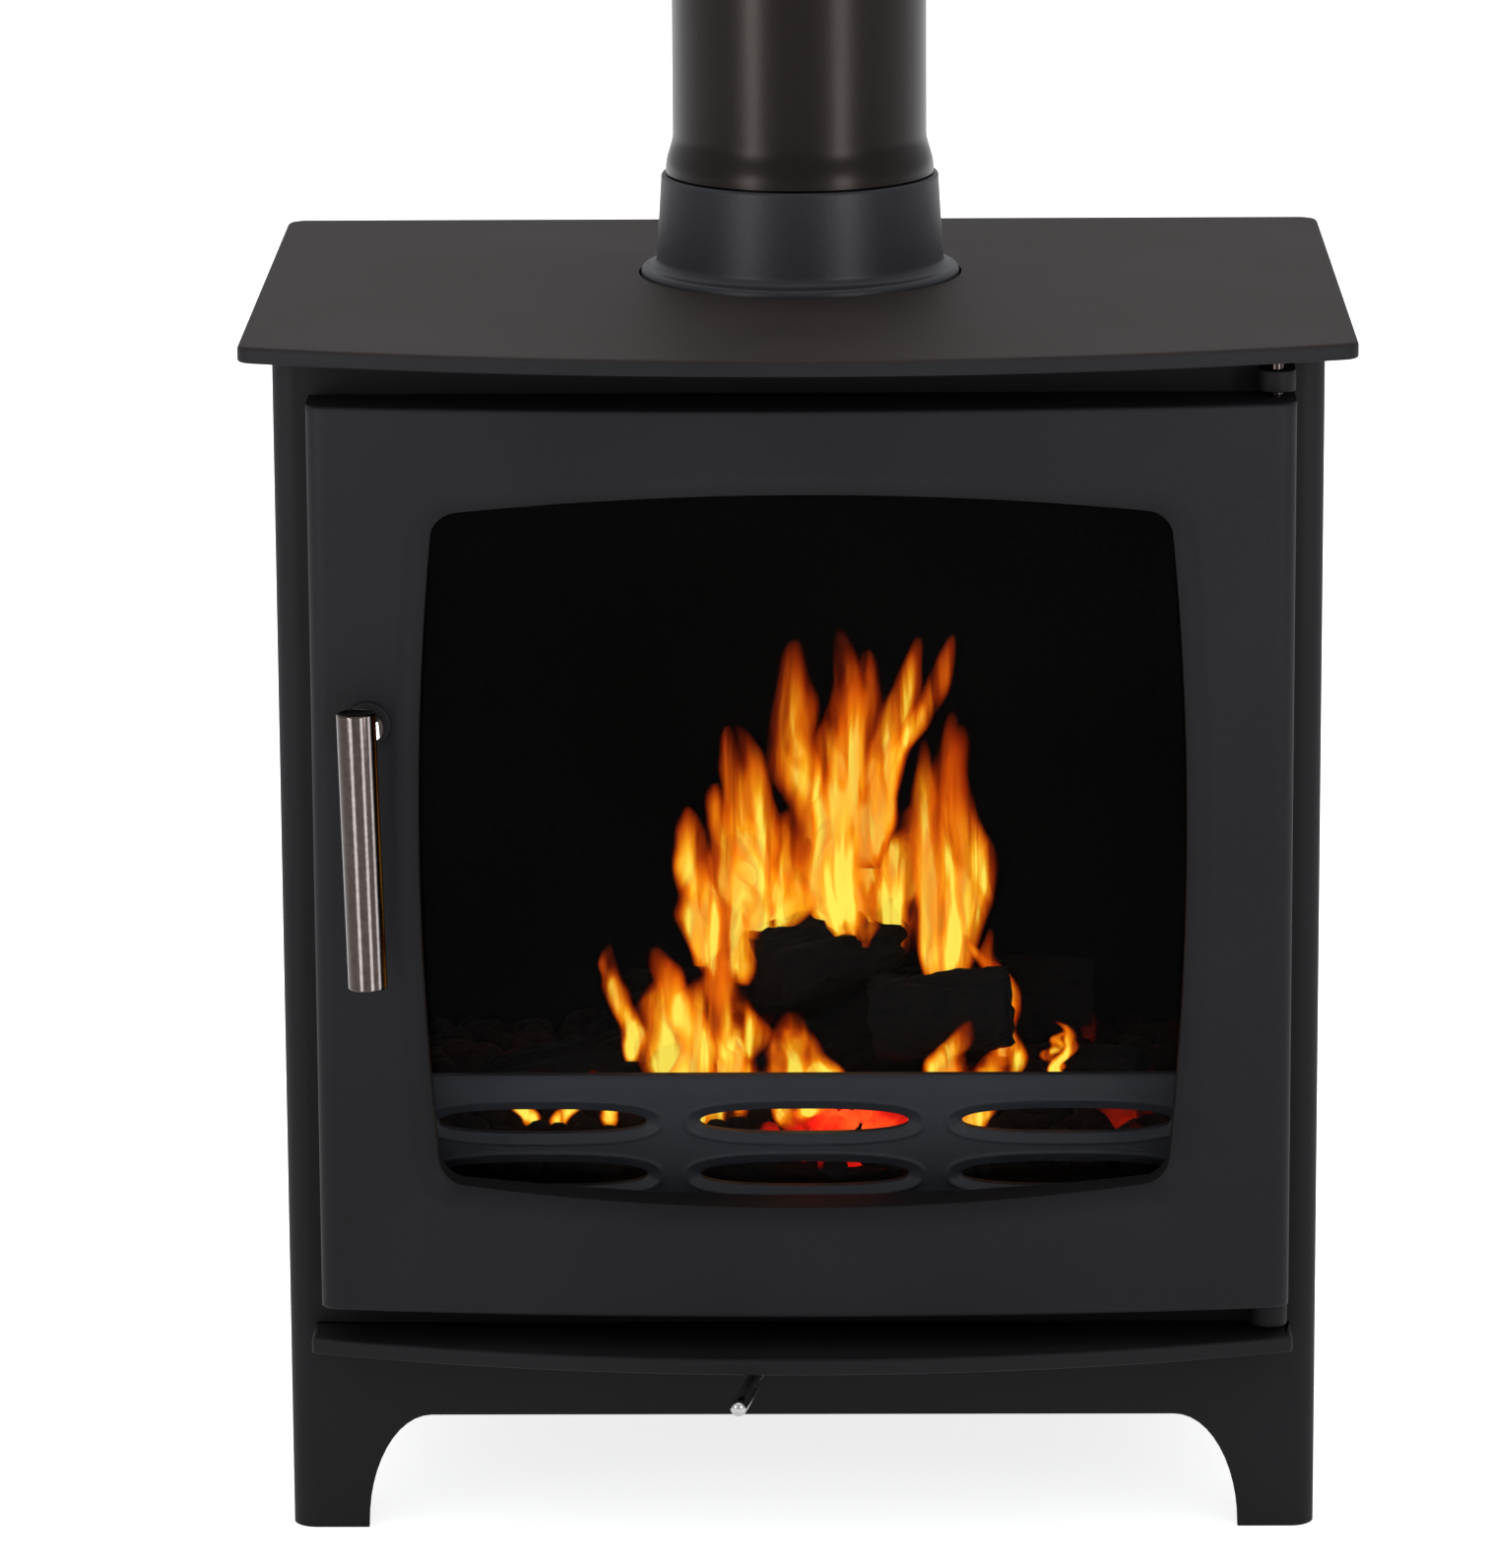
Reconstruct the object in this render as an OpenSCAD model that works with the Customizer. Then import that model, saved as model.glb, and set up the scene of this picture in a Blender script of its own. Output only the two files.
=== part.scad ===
// Freestanding wood burning stove: welded steel body on four plate legs, a thick bowed top
// plate, a bowed cast door with one large window, a cast flue collar and a first flue pipe.
// Front faces -Y, +X is to the right, the floor is z = 0. The modules are drawn from the
// front plane of the body (y = 0), and place() moves them so that the origin is the middle
// of the footprint.

/* [Body] */
// Width of the steel body
body_w = 508; // [440:2:640]
// Depth of the steel body, front plane to back
body_d = 330; // [290:2:420]
// Height of the top surface above the floor
stove_h = 602; // [520:2:730]
// Thickness of the body panels
panel_t = 5; // [4:0.5:7]
// Outer radius of the body's vertical front corners
corner_r = 12; // [8:1:16]
// Length of the flat that each side panel turns round onto the front
return_w = 10; // [6:1:14]

/* [Legs] */
// Height of the skirt's lower edge between the legs
skirt_z = 58.5; // [45:0.5:72]
// Width of each foot on the floor
foot_w = 38; // [30:1:48]
// Sideways run of the curve from foot to skirt
leg_run = 32; // [20:1:42]

/* [Top plate] */
// Thickness of the top plate
plate_t = 8; // [6:0.5:12]
// How far the top plate stands out past each side
plate_side = 14; // [8:1:20]
// How far the top plate stands out past the back
plate_back = 12; // [10:1:20]
// How far the top plate's front corners stand out
plate_front = 30; // [20:1:40]
// How far the middle of the front edge bows out past its corners
plate_bow = 42; // [25:1:55]
// Radius of the top plate's corners in plan
plate_r = 10; // [5:1:16]

/* [Ash lip] */
// Height of the ash lip's top face
lip_z = 107; // [96:0.5:112]
// Thickness of the ash lip
lip_t = 8; // [6:0.5:10]
// Width of the ash lip
lip_w = 482; // [400:2:500]
// How far the ash lip's corners stand out
lip_front = 28; // [20:1:40]
// Bow of the ash lip's front edge
lip_bow = 37; // [25:1:50]

/* [Door] */
// Width of the door
door_w = 474; // [410:1:490]
// Height of the door's lower edge
door_z0 = 124; // [121:0.5:130]
// Space between the door's top and the top plate
door_head = 20; // [18:0.5:24]
// Depth of the door at its sides
door_d = 32; // [28:1:40]
// Bow of the door's front face
door_bow = 15; // [8:0.5:20]
// Space between the door casting and the body
door_gap = 4; // [3:0.5:6]
// How far the door sits towards its hinges
door_shift = 1.5; // [0:0.5:3]
// Radius of the door's vertical front edges
door_r = 8; // [5:0.5:11]
// Thickness of the door's front wall
door_wall = 9; // [7:0.5:12]
// Width of the door's sealing border
border_w = 22; // [21:0.5:26]
// Width of the rope groove
groove_w = 8.5; // [7:0.5:9]
// Depth of the rope groove
groove_d = 5.5; // [4:0.5:7]

/* [Window] */
// Width of the window at its corners
win_w = 354; // [300:2:366]
// Height of the window at its corners
win_h = 332; // [280:2:340]
// Height of the window's lower corners above the door's lower edge
win_rise = 65; // [60:1:80]
// How far each side of the window curves out
win_side_bulge = 9; // [4:0.5:10]
// How far the top and the bottom of the window curve out
win_end_bulge = 11; // [4:0.5:12]
// Radius of the window's corners
win_r = 11; // [6:1:20]
// Width of the seat behind the window's edge
seat_w = 19; // [18:0.5:20]
// Depth of the seat's face behind the body side of the door
seat_y = 16; // [14:0.5:18]
// Thickness of the glass
glass_t = 4; // [4:0.5:5]
// Overlap of the glass on its seat
glass_lap = 7; // [5:0.5:8]
// Thickness of the flat gasket under the glass
gasket_t = 2; // [1.5:0.5:3]

/* [Hinges] */
// Distance of the hinge line from the door's right edge
hinge_in = 8.8; // [8:0.1:10]
// Distance of the hinge line in front of the body
hinge_out = 14; // [13:0.5:16]
// Radius of the hinge knuckles
knuckle_r = 9; // [8:0.5:10]
// Height of a hinge knuckle
knuckle_h = 10.5; // [8:0.5:12]
// Space between a knuckle and the door
knuckle_gap = 2.5; // [1.5:0.5:3]
// Radius of the hinge pins
pin_r = 3; // [2.5:0.25:4]
// Depth of the hinge pins in the door
pin_depth = 28; // [20:1:40]
// Radial clearance of running fits
run_fit = 0.08; // [0.03:0.01:0.1]

/* [Handle] */
// Distance of the spindle from the door's left edge
spindle_in = 28; // [27:0.5:30]
// Height of the spindle above the door's lower edge
spindle_rise = 295.5; // [240:0.5:320]
// Radius of the spindle in the door
spindle_r = 6; // [5:0.5:7]
// Radius of the boss round the spindle
boss_r = 11; // [9:0.5:12]
// Height of the boss above the door's face
boss_h = 2.5; // [1:0.5:4]
// Radius of the handle bar
bar_r = 9.5; // [8:0.5:12]
// Length of the handle bar
bar_len = 136; // [110:1:170]
// Length of the bar above the spindle
bar_top = 12; // [10:0.5:16]
// Lean of the bar from the vertical, in degrees
bar_lean = 1.5; // [0:0.5:4]
// Sideways offset of the bar from the spindle
bar_off = 3.5; // [0:0.5:4]
// Distance of the bar's centre line in front of the body
bar_y = 68; // [66:0.5:76]
// Radius of the threaded ends of the spindle
stud_r = 4; // [3:0.5:4.5]
// Width across the flats of the spindle nuts
nut_af = 13; // [12:0.5:15]
// Thickness of the spindle nuts
nut_t = 6.5; // [5:0.5:8]
// Thickness of the washer behind the nut
washer_t = 1.5; // [1:0.5:2]
// Thickness of the latch tongue
tongue_t = 4.5; // [3:0.5:6]
// Reach of the latch tongue from the spindle
tongue_len = 24; // [18:1:30]

/* [Air lever] */
// Distance of the lever's pivot behind the front plane
lever_pivot_y = 90; // [80:1:110]
// Length of the lever from its pivot
lever_len = 191; // [185:1:225]
// Lean of the lever to the left at rest, in degrees
lever_lean = 9.3; // [5:0.1:12]
// Radius of the lever rod
lever_r = 4; // [3:0.25:4.5]
// Height of the lever rod's centre line
lever_z = 92; // [86:0.5:92]
// Thickness of the air shutter
shutter_t = 3; // [2:0.5:3]
// Outer radius of the air shutter
shutter_r = 76; // [66:1:80]
// Radius of the air holes
air_hole_r = 8; // [5:0.5:9]

/* [Flue] */
// Outer radius of the flue pipe
pipe_r = 63.5; // [60:0.5:76]
// Wall thickness of the flue pipe
pipe_t = 1.5; // [1:0.25:2.5]
// Length of the flue pipe
pipe_len = 256; // [200:1:320]
// Height of the collar above the top surface
collar_h = 50; // [40:1:60]
// Radial space for the sealing rope between pipe and collar
rope_space = 2.5; // [2:0.25:4]
// Wall thickness of the collar at its rim
collar_t = 3.5; // [3:0.25:5]
// Outward taper of the collar wall from rim to foot
collar_taper = 2.4; // [1:0.2:4]
// Width of the collar's foot flange outside its wall
flange_w = 7.9; // [7:0.1:12]
// Height of the foot flange above the top surface
flange_h = 3.5; // [2:0.5:6]
// Radius of the rounded edge of the foot flange
bead_r = 3; // [2:0.5:3.5]
// Space round the flange in the top plate
flange_gap = 1.2; // [0.5:0.1:2]
// Distance of the flue's centre line behind the front plane
flue_y = 180; // [150:1:200]
// Height of the pipe's swell that covers the collar's rim
swell_h = 18; // [12:1:26]
// How far the swell stands out from the pipe
swell_out = 3.6; // [2:0.2:4.4]

/* [Firebox] */
// Thickness of the fire bricks
brick_t = 25; // [20:1:30]
// Height of the fire bricks
brick_h = 300; // [240:5:320]
// Thickness of the hearth plate
hearth_t = 5; // [4:0.5:6]
// Thickness of the base plate
base_t = 6; // [5:0.5:8]
// Thickness of the grate ledges
ledge_t = 4; // [3:0.5:6]
// Width of the grate ledges
ledge_w = 24; // [18:1:30]
// Thickness of the grate
grate_t = 7; // [6:0.5:9]
// Width of the slots between the grate's bars
grate_gap = 10; // [7:0.5:14]
// Width of the grate's bars
grate_bar = 12; // [8:0.5:18]
// Width of the grate's solid rim
grate_rim = 20; // [12:1:30]
// Rows of slots in the grate
grate_rows = 3; // [2:1:4]
// Depth of the ash pan
pan_h = 20; // [14:1:20]
// Wall thickness of the ash pan
pan_t = 1.5; // [1:0.5:2]
// Thickness of the baffle
baffle_t = 12; // [8:1:16]
// Rise of the baffle from back to front
baffle_rise = 42; // [20:1:46]
// Thickness of the log guard
guard_t = 8; // [6:0.5:9]
// Height of the log guard's top edge
guard_z = 230.5; // [215:0.5:250]
// Height of the log guard
guard_h = 80; // [66:0.5:80]
// Length of the log guard's slots
slot_w = 103; // [80:1:110]
// Height of the log guard's slots
slot_h = 12.6; // [9:0.2:13]
// Distance between slot centres along the log guard
slot_pitch = 129; // [120:1:132]
// Distance between the two rows of slots
row_pitch = 27; // [24:0.5:30]

/* [Hidden] */
$fn = 64;
over = 1;                                   // how far a cut runs past a face
fit = 0.1;                                  // radial clearance of a fixed bolt in its hole

half_w = body_w / 2;
inner_w = half_w - panel_t;                 // half of the clear width between the sides
plate_z = stove_h - plate_t;                // underside of the top plate
body_top_t = 6;
body_top_z = plate_z - body_top_t;
inner_back = body_d - panel_t;
front_half = half_w - corner_r - return_w;  // half width of the front panel

door_z1 = plate_z - door_head;
door_h = door_z1 - door_z0;
door_back = -door_gap;
door_front = -door_gap - door_d;
door_half = door_w / 2;
jamb_lap = 19;                              // door's overlap round its opening
open_half = door_half - jamb_lap;
open_z0 = door_z0 + jamb_lap;
open_z1 = door_z1 - jamb_lap;
groove_in = 9;                              // border left outside the rope groove
win_half = win_w / 2;
win_z = door_z0 + win_rise + win_h / 2;
seat_half = win_half + win_side_bulge + seat_w;
seat_hh = win_h / 2 + win_end_bulge + seat_w;
glass_half = win_half + win_side_bulge + glass_lap;
glass_hh = win_h / 2 + win_end_bulge + glass_lap;
seat_face = door_back - seat_y;
glass_y = seat_face + gasket_t;
clip_gap = (seat_w - glass_lap) / 2;        // from the glass edge to a clip's screw

hinge_x = door_shift + door_half - hinge_in;
hinge_y = -hinge_out;
spindle_x = door_shift - door_half + spindle_in;
spindle_z = door_z0 + spindle_rise;
bar_x = spindle_x - bar_off;
hearth_z = open_z0 - 1;                     // top of the hearth plate
ledge_z = hearth_z + pan_h + 2;             // underside of the grate ledges
grate_z = ledge_z + ledge_t;
grate_top = grate_z + grate_t;
base_z = lip_z - lip_t;                     // underside of the base plate
ledge_y0 = 21;
brick_top = grate_z + brick_h;
rail_t = 5;
baffle_y0 = 95;
baffle_y1 = inner_back - brick_t - 1;
baffle_z1 = brick_top + 3 + rail_t;
guard_y = panel_t + 1;
collar_ir = pipe_r + rope_space;
rim_r = collar_ir + collar_t;
wall_foot_r = rim_r + collar_taper;
flange_r = wall_foot_r + flange_w;
rim_z = stove_h + collar_h;
pipe_z0 = plate_z + 7;
shutter_z = base_z - 0.6 - shutter_t;
bolt_head = 4;
m6_r = 3;
m5_r = 2.5;
outlet_r = 60;
outlet_z = body_top_z - 78;
lever_tip_y = lever_pivot_y - (lever_len - lever_r) * cos(lever_lean) - lever_r;
y_mid = (body_d + plate_back + lever_tip_y) / 2;

paint = "#303035";
iron = "#34353a";
steel = "#a8a39c";
dark = "#26262a";

// ---- outlines and helpers ----
function arc(cx, cy, r, a0, a1, n) =
    [for (i = [0:n]) let (a = a0 + (a1 - a0) * i / n) [cx + r * cos(a), cy + r * sin(a)]];

// Radius of a bow of a given rise across a half width
function bow_r(hw, bow) = (hw * hw + bow * bow) / (2 * bow);

// Front position of a bowed face at x
function bow_y(x, hw, y_front, bow) =
    y_front - bow + bow_r(hw, bow) - sqrt(pow(bow_r(hw, bow), 2) - x * x);

// Plan outline with straight sides, a bowed front and rounded corners
function bowed(hw, y_back, y_front, bow, r_front, r_back, n = 40) =
    let (R = bow_r(hw, bow), yc = y_front - bow + R, x = hw - r_front,
        y = yc - sqrt(pow(R - r_front, 2) - x * x), a = atan2(y - yc, x))
    concat(arc(hw - r_back, y_back - r_back, r_back, 90, 0, 6), arc(x, y, r_front, 0, a, 6),
        arc(0, yc, R, a, -180 - a, n), arc(-x, y, r_front, -180 - a, -180, 6),
        arc(r_back - hw, y_back - r_back, r_back, 180, 90, 6));

function rounded(hw, hh, r, n = 6) =
    concat(arc(hw - r, hh - r, r, 0, 90, n), arc(r - hw, hh - r, r, 90, 180, n),
        arc(r - hw, r - hh, r, 180, 270, n), arc(hw - r, r - hh, r, 270, 360, n));

// Straight runs of a closed outline cut into n steps
function stepped(p, n) =
    [for (i = [0:len(p) - 1], k = [0:n - 1]) p[i] + (p[(i + 1) % len(p)] - p[i]) * k / n];

// A rounded rectangle whose four sides curve out like a barrel's
function barrel(hw, hh, r, bw, bh) =
    [for (p = stepped(rounded(hw, hh, r, 3), 6))
        [p[0] * (1 + bw / hw * (1 - pow(p[1] / hh, 2))),
         p[1] * (1 + bh / hh * (1 - pow(p[0] / hw, 2)))]];

// The open arch between two legs, from -hw to hw on the floor
function arch(hw, run, h, n = 10) =
    concat([for (i = [0:n]) [hw - run + run * cos(i * 90 / n), h * sin(i * 90 / n)]],
        [for (i = [0:n]) [run - hw - run * sin(i * 90 / n), h * cos(i * 90 / n)]],
        [[-hw, -over], [hw, -over]]);

// A slot that is widest in its middle and round at its ends
function lens(hw, hh, n = 32) =
    [for (i = [0:n - 1]) let (c = cos(i * 360 / n), s = sin(i * 360 / n))
        [hw * sign(c) * pow(abs(c), 0.8), hh * sign(s) * pow(abs(s), 0.8)]];

module place() { translate([0, -y_mid, 0]) children(); }
module block(p0, p1) { translate(p0) cube(p1 - p0); }
// A profile in x and z that fills y0 to y1
module wall_xz(y0, y1) { translate([0, y1, 0]) rotate([90, 0, 0]) linear_extrude(y1 - y0) children(); }
// A profile in y and z that fills x0 to x1
module wall_yz(x0, x1) { translate([x0, 0, 0]) rotate([90, 0, 90]) linear_extrude(x1 - x0) children(); }
module slab(z0, z1) { translate([0, 0, z0]) linear_extrude(z1 - z0) children(); }
module post(x, y, z0, z1, r) { translate([x, y, z0]) cylinder(r = r, h = z1 - z0); }
module rod_y(x, z, y0, y1, r) { translate([x, y1, z]) rotate([90, 0, 0]) cylinder(r = r, h = y1 - y0); }
module hex_y(x, z, y0, y1, af, turn = 0) {
    translate([x, y1, z]) rotate([90, turn, 0]) cylinder(r = af / sqrt(3), h = y1 - y0, $fn = 6);
}
module in_door() { translate([door_shift, 0, 0]) children(); }
module mirrored() { mirror([1, 0, 0]) children(); }

// ---- body ----
module side_arch() {
    wall_yz(-half_w - over, -inner_w + over) translate([body_d / 2, 0])
        polygon(arch(body_d / 2 - foot_w, leg_run, skirt_z));
}
module front_arch(y0, y1) {
    wall_xz(y0, y1) polygon(arch(half_w - foot_w, leg_run, skirt_z));
}
module side_panel() {
    difference() {
        slab(0, body_top_z) {
            translate([-half_w, corner_r]) square([panel_t, body_d - corner_r]);
            translate([corner_r - half_w, 0]) square([return_w, panel_t]);
            intersection() {
                translate([-half_w, 0]) square(corner_r);
                translate([corner_r - half_w, corner_r]) difference() {
                    circle(corner_r);
                    circle(corner_r - panel_t);
                }
            }
        }
        side_arch();
    }
}
module side_panel_left() { color(paint) place() side_panel(); }
module side_panel_right() { color(paint) place() mirrored() side_panel(); }

lever_reach = lever_pivot_y * tan(lever_lean);
module front_panel() {
    color(paint) place() difference() {
        block([-front_half, 0, 0], [front_half, panel_t, body_top_z]);
        front_arch(-over, panel_t + over);
        in_door() wall_xz(-over, panel_t + over) translate([0, (open_z0 + open_z1) / 2])
            polygon(rounded(open_half, (open_z1 - open_z0) / 2, 8));
        block([-lever_reach - lever_r - 3, -over, lever_z - lever_r - 2],
            [lever_reach + lever_r + 3, panel_t + over, base_z - 1]);
    }
}
module back_panel() {
    color(paint) place() difference() {
        block([-inner_w, inner_back, 0], [inner_w, body_d, body_top_z]);
        front_arch(inner_back - over, body_d + over);
        rod_y(0, outlet_z, inner_back - over, body_d + over, outlet_r + 0.5);
        cover_bolt_places() rod_y(0, 0, inner_back - over, body_d + over, m6_r + fit);
    }
}
module air_hole_places() {
    for (a = [-24, 0, 24]) translate([0, lever_pivot_y, 0]) rotate(a) translate([0, -58, 0]) children();
}
// A plate that fills the body between the panels, with its corners inside their bends
module floor_plate(z0, z1) {
    hd = (inner_back - panel_t) / 2;
    slab(z0, z1) translate([0, panel_t + hd]) polygon(rounded(inner_w, hd, corner_r - panel_t + 1));
}
module base_plate() {
    color(dark) place() difference() {
        floor_plate(base_z, base_z + base_t);
        air_hole_places() post(0, 0, base_z - over, base_z + base_t + over, air_hole_r);
        post(0, lever_pivot_y, base_z - over, base_z + base_t + over, stud_r + fit);
    }
}
module hearth_plate() {
    color(dark) place() difference() {
        floor_plate(hearth_z - hearth_t, hearth_z);
        for (x = [-90, -30, 30, 90])
            post(x, 150, hearth_z - hearth_t - over, hearth_z + over, air_hole_r + 4);
    }
}
plate_bolt_x = half_w - 54;
plate_bolt_ys = [40, body_d - 40];
module plate_bolt_places() {
    for (x = [-plate_bolt_x, plate_bolt_x], y = plate_bolt_ys) translate([x, y, 0]) children();
}
collar_bolt_r = (collar_ir + flange_r) / 2;
module collar_bolt_places() {
    for (a = [45:90:315]) translate([collar_bolt_r * cos(a), flue_y + collar_bolt_r * sin(a), 0])
        children();
}
module body_top() {
    color(paint) place() difference() {
        slab(body_top_z, plate_z) polygon([for (p = rounded(half_w, body_d / 2, corner_r, 6))
            p + [0, body_d / 2]]);
        post(0, flue_y, body_top_z - over, plate_z + over, pipe_r - pipe_t - 1);
        plate_bolt_places() post(0, 0, body_top_z - over, plate_z + over, m6_r + fit);
        collar_bolt_places() post(0, 0, body_top_z - over, plate_z + over, m5_r + fit);
    }
}
module top_plate() {
    color("#464342") place() difference() {
        slab(plate_z, stove_h) polygon(bowed(half_w + plate_side, body_d + plate_back,
            -plate_front, plate_bow, plate_r, plate_r));
        post(0, flue_y, plate_z - over, stove_h + over, flange_r + flange_gap);
        plate_bolt_places() post(0, 0, plate_z - over, stove_h - 3, m6_r + fit);
    }
}
module bolt_up(z0, z1, r, head_r) {
    post(0, 0, z0, z1, r);
    translate([0, 0, z0 - bolt_head]) cylinder(r = head_r, h = bolt_head, $fn = 6);
}
module top_plate_bolts() {
    color(steel) place() plate_bolt_places() bolt_up(body_top_z, stove_h - 3.5, m6_r, 5.8);
}
module ash_lip() {
    color(paint) place() slab(base_z, lip_z)
        polygon(bowed(lip_w / 2, 0, -lip_front, lip_bow, 3, 0.5));
}

// ---- flue ----
module flue_collar() {
    fillet = flange_w - bead_r;
    top = stove_h + flange_h;
    bead_x = flange_r - bead_r;
    seat_z = pipe_z0 - 0.5;
    color(iron) place() difference() {
        translate([0, flue_y, 0]) rotate_extrude() polygon(concat(
            [[pipe_r - pipe_t - 1, plate_z], [flange_r, plate_z]],
            arc(bead_x, top - bead_r, bead_r, 0, 90, 6),
            arc(bead_x, top + fillet, fillet, 270, 180, 8),
            [[wall_foot_r - 0.2, top + fillet + 2], [rim_r, rim_z - 2]],
            arc(rim_r - 1.5, rim_z - 1.5, 1.5, 0, 90, 4),
            [[collar_ir, rim_z], [collar_ir, seat_z], [pipe_r - pipe_t - 1, seat_z]]));
        collar_bolt_places() post(0, 0, plate_z - over, top - 2.5, m5_r + fit);
    }
}
module collar_bolts() {
    color(steel) place() collar_bolt_places()
        bolt_up(body_top_z, stove_h + flange_h - 3, m5_r, 4.6);
}
module collar_rope() {
    color("#8d8a84") place() translate([0, flue_y, 0]) rotate_extrude()
        translate([pipe_r + 0.1, pipe_z0]) square([rope_space - 0.2, 14]);
}
module flue_pipe() {
    swell_z = rim_z + 3;
    // Half of a cosine wave runs from the swell up to the plain pipe
    outer = [for (i = [0:10]) [pipe_r + swell_out * (0.5 + 0.5 * cos(18 * i)),
        swell_z + swell_h * i / 10]];
    inner = [for (p = outer) p - [pipe_t, 0]];
    pipe_z1 = pipe_z0 + pipe_len;
    low = rim_z + 0.6;
    color("#3a3230") place() translate([0, flue_y, 0]) rotate_extrude() polygon(concat(
        [[pipe_r - pipe_t, pipe_z0], [pipe_r, pipe_z0], [pipe_r, low]], outer,
        [[pipe_r, pipe_z1], [pipe_r - pipe_t, pipe_z1]],
        [for (i = [10:-1:0]) inner[i]], [[pipe_r - pipe_t, low]]));
}
cover_r = outlet_r + 16;
module cover_bolt_places() {
    for (a = [0:90:270]) translate([(outlet_r + 8) * cos(a), 0, outlet_z + (outlet_r + 8) * sin(a)])
        children();
}
module rear_outlet_cover() {
    color(paint) place() difference() {
        union() {
            rod_y(0, outlet_z, body_d, body_d + 5, cover_r);
            rod_y(0, outlet_z, inner_back, body_d, outlet_r);
        }
        cover_bolt_places() rod_y(0, 0, body_d - over, body_d + 5 + over, m6_r + fit);
    }
}
module rear_cover_bolts() {
    color(steel) place() cover_bolt_places() {
        rod_y(0, 0, inner_back, body_d + 5, m6_r);
        hex_y(0, 0, body_d + 5, body_d + 5 + bolt_head, 10);
    }
}

// ---- firebox ----
brick_out = inner_w - 0.5;
module fire_brick_side() {
    block([-brick_out, ledge_y0, grate_z], [brick_t - brick_out, inner_back - brick_t - 1, brick_top]);
}
module fire_brick_left() { color("#5a3f36") place() fire_brick_side(); }
module fire_brick_right() { color("#5a3f36") place() mirrored() fire_brick_side(); }
module fire_brick_rear() {
    color("#5a3f36") place() block([-brick_out, inner_back - brick_t - 0.5, grate_z],
        [brick_out, inner_back - 0.5, brick_top]);
}
// A strip of thickness t whose underside rises by baffle_rise from back to front
module sloped(x0, x1, z, t) {
    wall_yz(x0, x1) polygon([[baffle_y0, z + baffle_rise], [baffle_y1, z],
        [baffle_y1, z + t], [baffle_y0, z + baffle_rise + t]]);
}
module baffle() {
    color("#4a3f3a") place() sloped(1 - brick_out + brick_t, brick_out - brick_t - 1, baffle_z1, baffle_t);
}
module baffle_rail() { sloped(-inner_w, brick_t + 15 - inner_w, baffle_z1 - rail_t, rail_t); }
module baffle_rail_left() { color(dark) place() baffle_rail(); }
module baffle_rail_right() { color(dark) place() mirrored() baffle_rail(); }

grate_half = brick_out - brick_t - 2;
grate_y0 = ledge_y0 + 2;
grate_y1 = inner_back - brick_t - 3;
grate_cols = floor((2 * (grate_half - grate_rim) + grate_bar) / (grate_gap + grate_bar));
module grate() {
    pitch_x = grate_gap + grate_bar;
    cell_y = (grate_y1 - grate_y0 - 2 * grate_rim + grate_bar) / grate_rows;
    color(iron) place() difference() {
        block([-grate_half, grate_y0, grate_z], [grate_half, grate_y1, grate_top]);
        for (i = [0:grate_cols - 1], j = [0:grate_rows - 1])
            translate([(i - (grate_cols - 1) / 2) * pitch_x - grate_gap / 2,
                       grate_y0 + grate_rim + cell_y * j, grate_z - over])
                cube([grate_gap, cell_y - grate_bar, grate_t + 2 * over]);
    }
}

module ledge(x0, x1, y0, y1) { color(dark) place() block([x0, y0, ledge_z], [x1, y1, grate_z]); }
side_ledge_w = brick_t + ledge_w;
rear_ledge_y = inner_back - brick_t - ledge_w;
module grate_ledge_front() { ledge(-inner_w, inner_w, ledge_y0, ledge_y0 + ledge_w); }
module grate_ledge_rear() { ledge(-inner_w, inner_w, rear_ledge_y, inner_back); }
module grate_ledge_left() { ledge(-inner_w, side_ledge_w - inner_w, ledge_y0 + ledge_w, rear_ledge_y); }
module grate_ledge_right() { ledge(inner_w - side_ledge_w, inner_w, ledge_y0 + ledge_w, rear_ledge_y); }

guard_half = open_half + 2;
guard_row_z = guard_z - 23.5;               // centre of the upper row of slots
module log_guard() {
    color(iron) place() in_door() difference() {
        block([-guard_half, guard_y, guard_z - guard_h], [guard_half, guard_y + guard_t, guard_z]);
        for (i = [-1:1], j = [0:1])
            wall_xz(guard_y - over, guard_y + guard_t + over)
                translate([i * slot_pitch, guard_row_z - j * row_pitch])
                    polygon(lens(slot_w / 2, slot_h / 2));
    }
}
module guard_support() {
    x0 = -guard_half + door_shift;
    low = guard_z - guard_h;
    block([x0, guard_y, hearth_z], [x0 + 18, guard_y + guard_t + 5.5, low]);
    block([x0, guard_y + guard_t + 0.5, hearth_z], [x0 + 18, guard_y + guard_t + 5.5, ledge_z - 1]);
}
module guard_support_left() { color(dark) place() guard_support(); }
module guard_support_right() {
    color(dark) place() translate([2 * door_shift, 0, 0]) mirrored() guard_support();
}
module airwash_deflector() {
    z = open_z1 - 15;
    x = inner_w - 3;
    color(dark) place() wall_yz(-x, x) polygon([[panel_t + 4, z], [22, z + 8],
        [22, body_top_z], [19, body_top_z], [19, z + 10], [panel_t + 4, z + 3]]);
}
pan_half = 165;
pan_y0 = 20;
pan_y1 = rear_ledge_y - 4;
module ash_pan() {
    z = hearth_z + 0.3;
    color(dark) place() difference() {
        block([-pan_half, pan_y0, z], [pan_half, pan_y1, z + pan_h]);
        block([pan_t - pan_half, pan_y0 + pan_t, z + pan_t],
            [pan_half - pan_t, pan_y1 - pan_t, z + pan_h + over]);
    }
}
module ash_pan_grip() {
    z = hearth_z + pan_h / 2;
    color(dark) place() block([-22, pan_y0 - 5, z - 2], [22, pan_y0, z + 2]);
}

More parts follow.
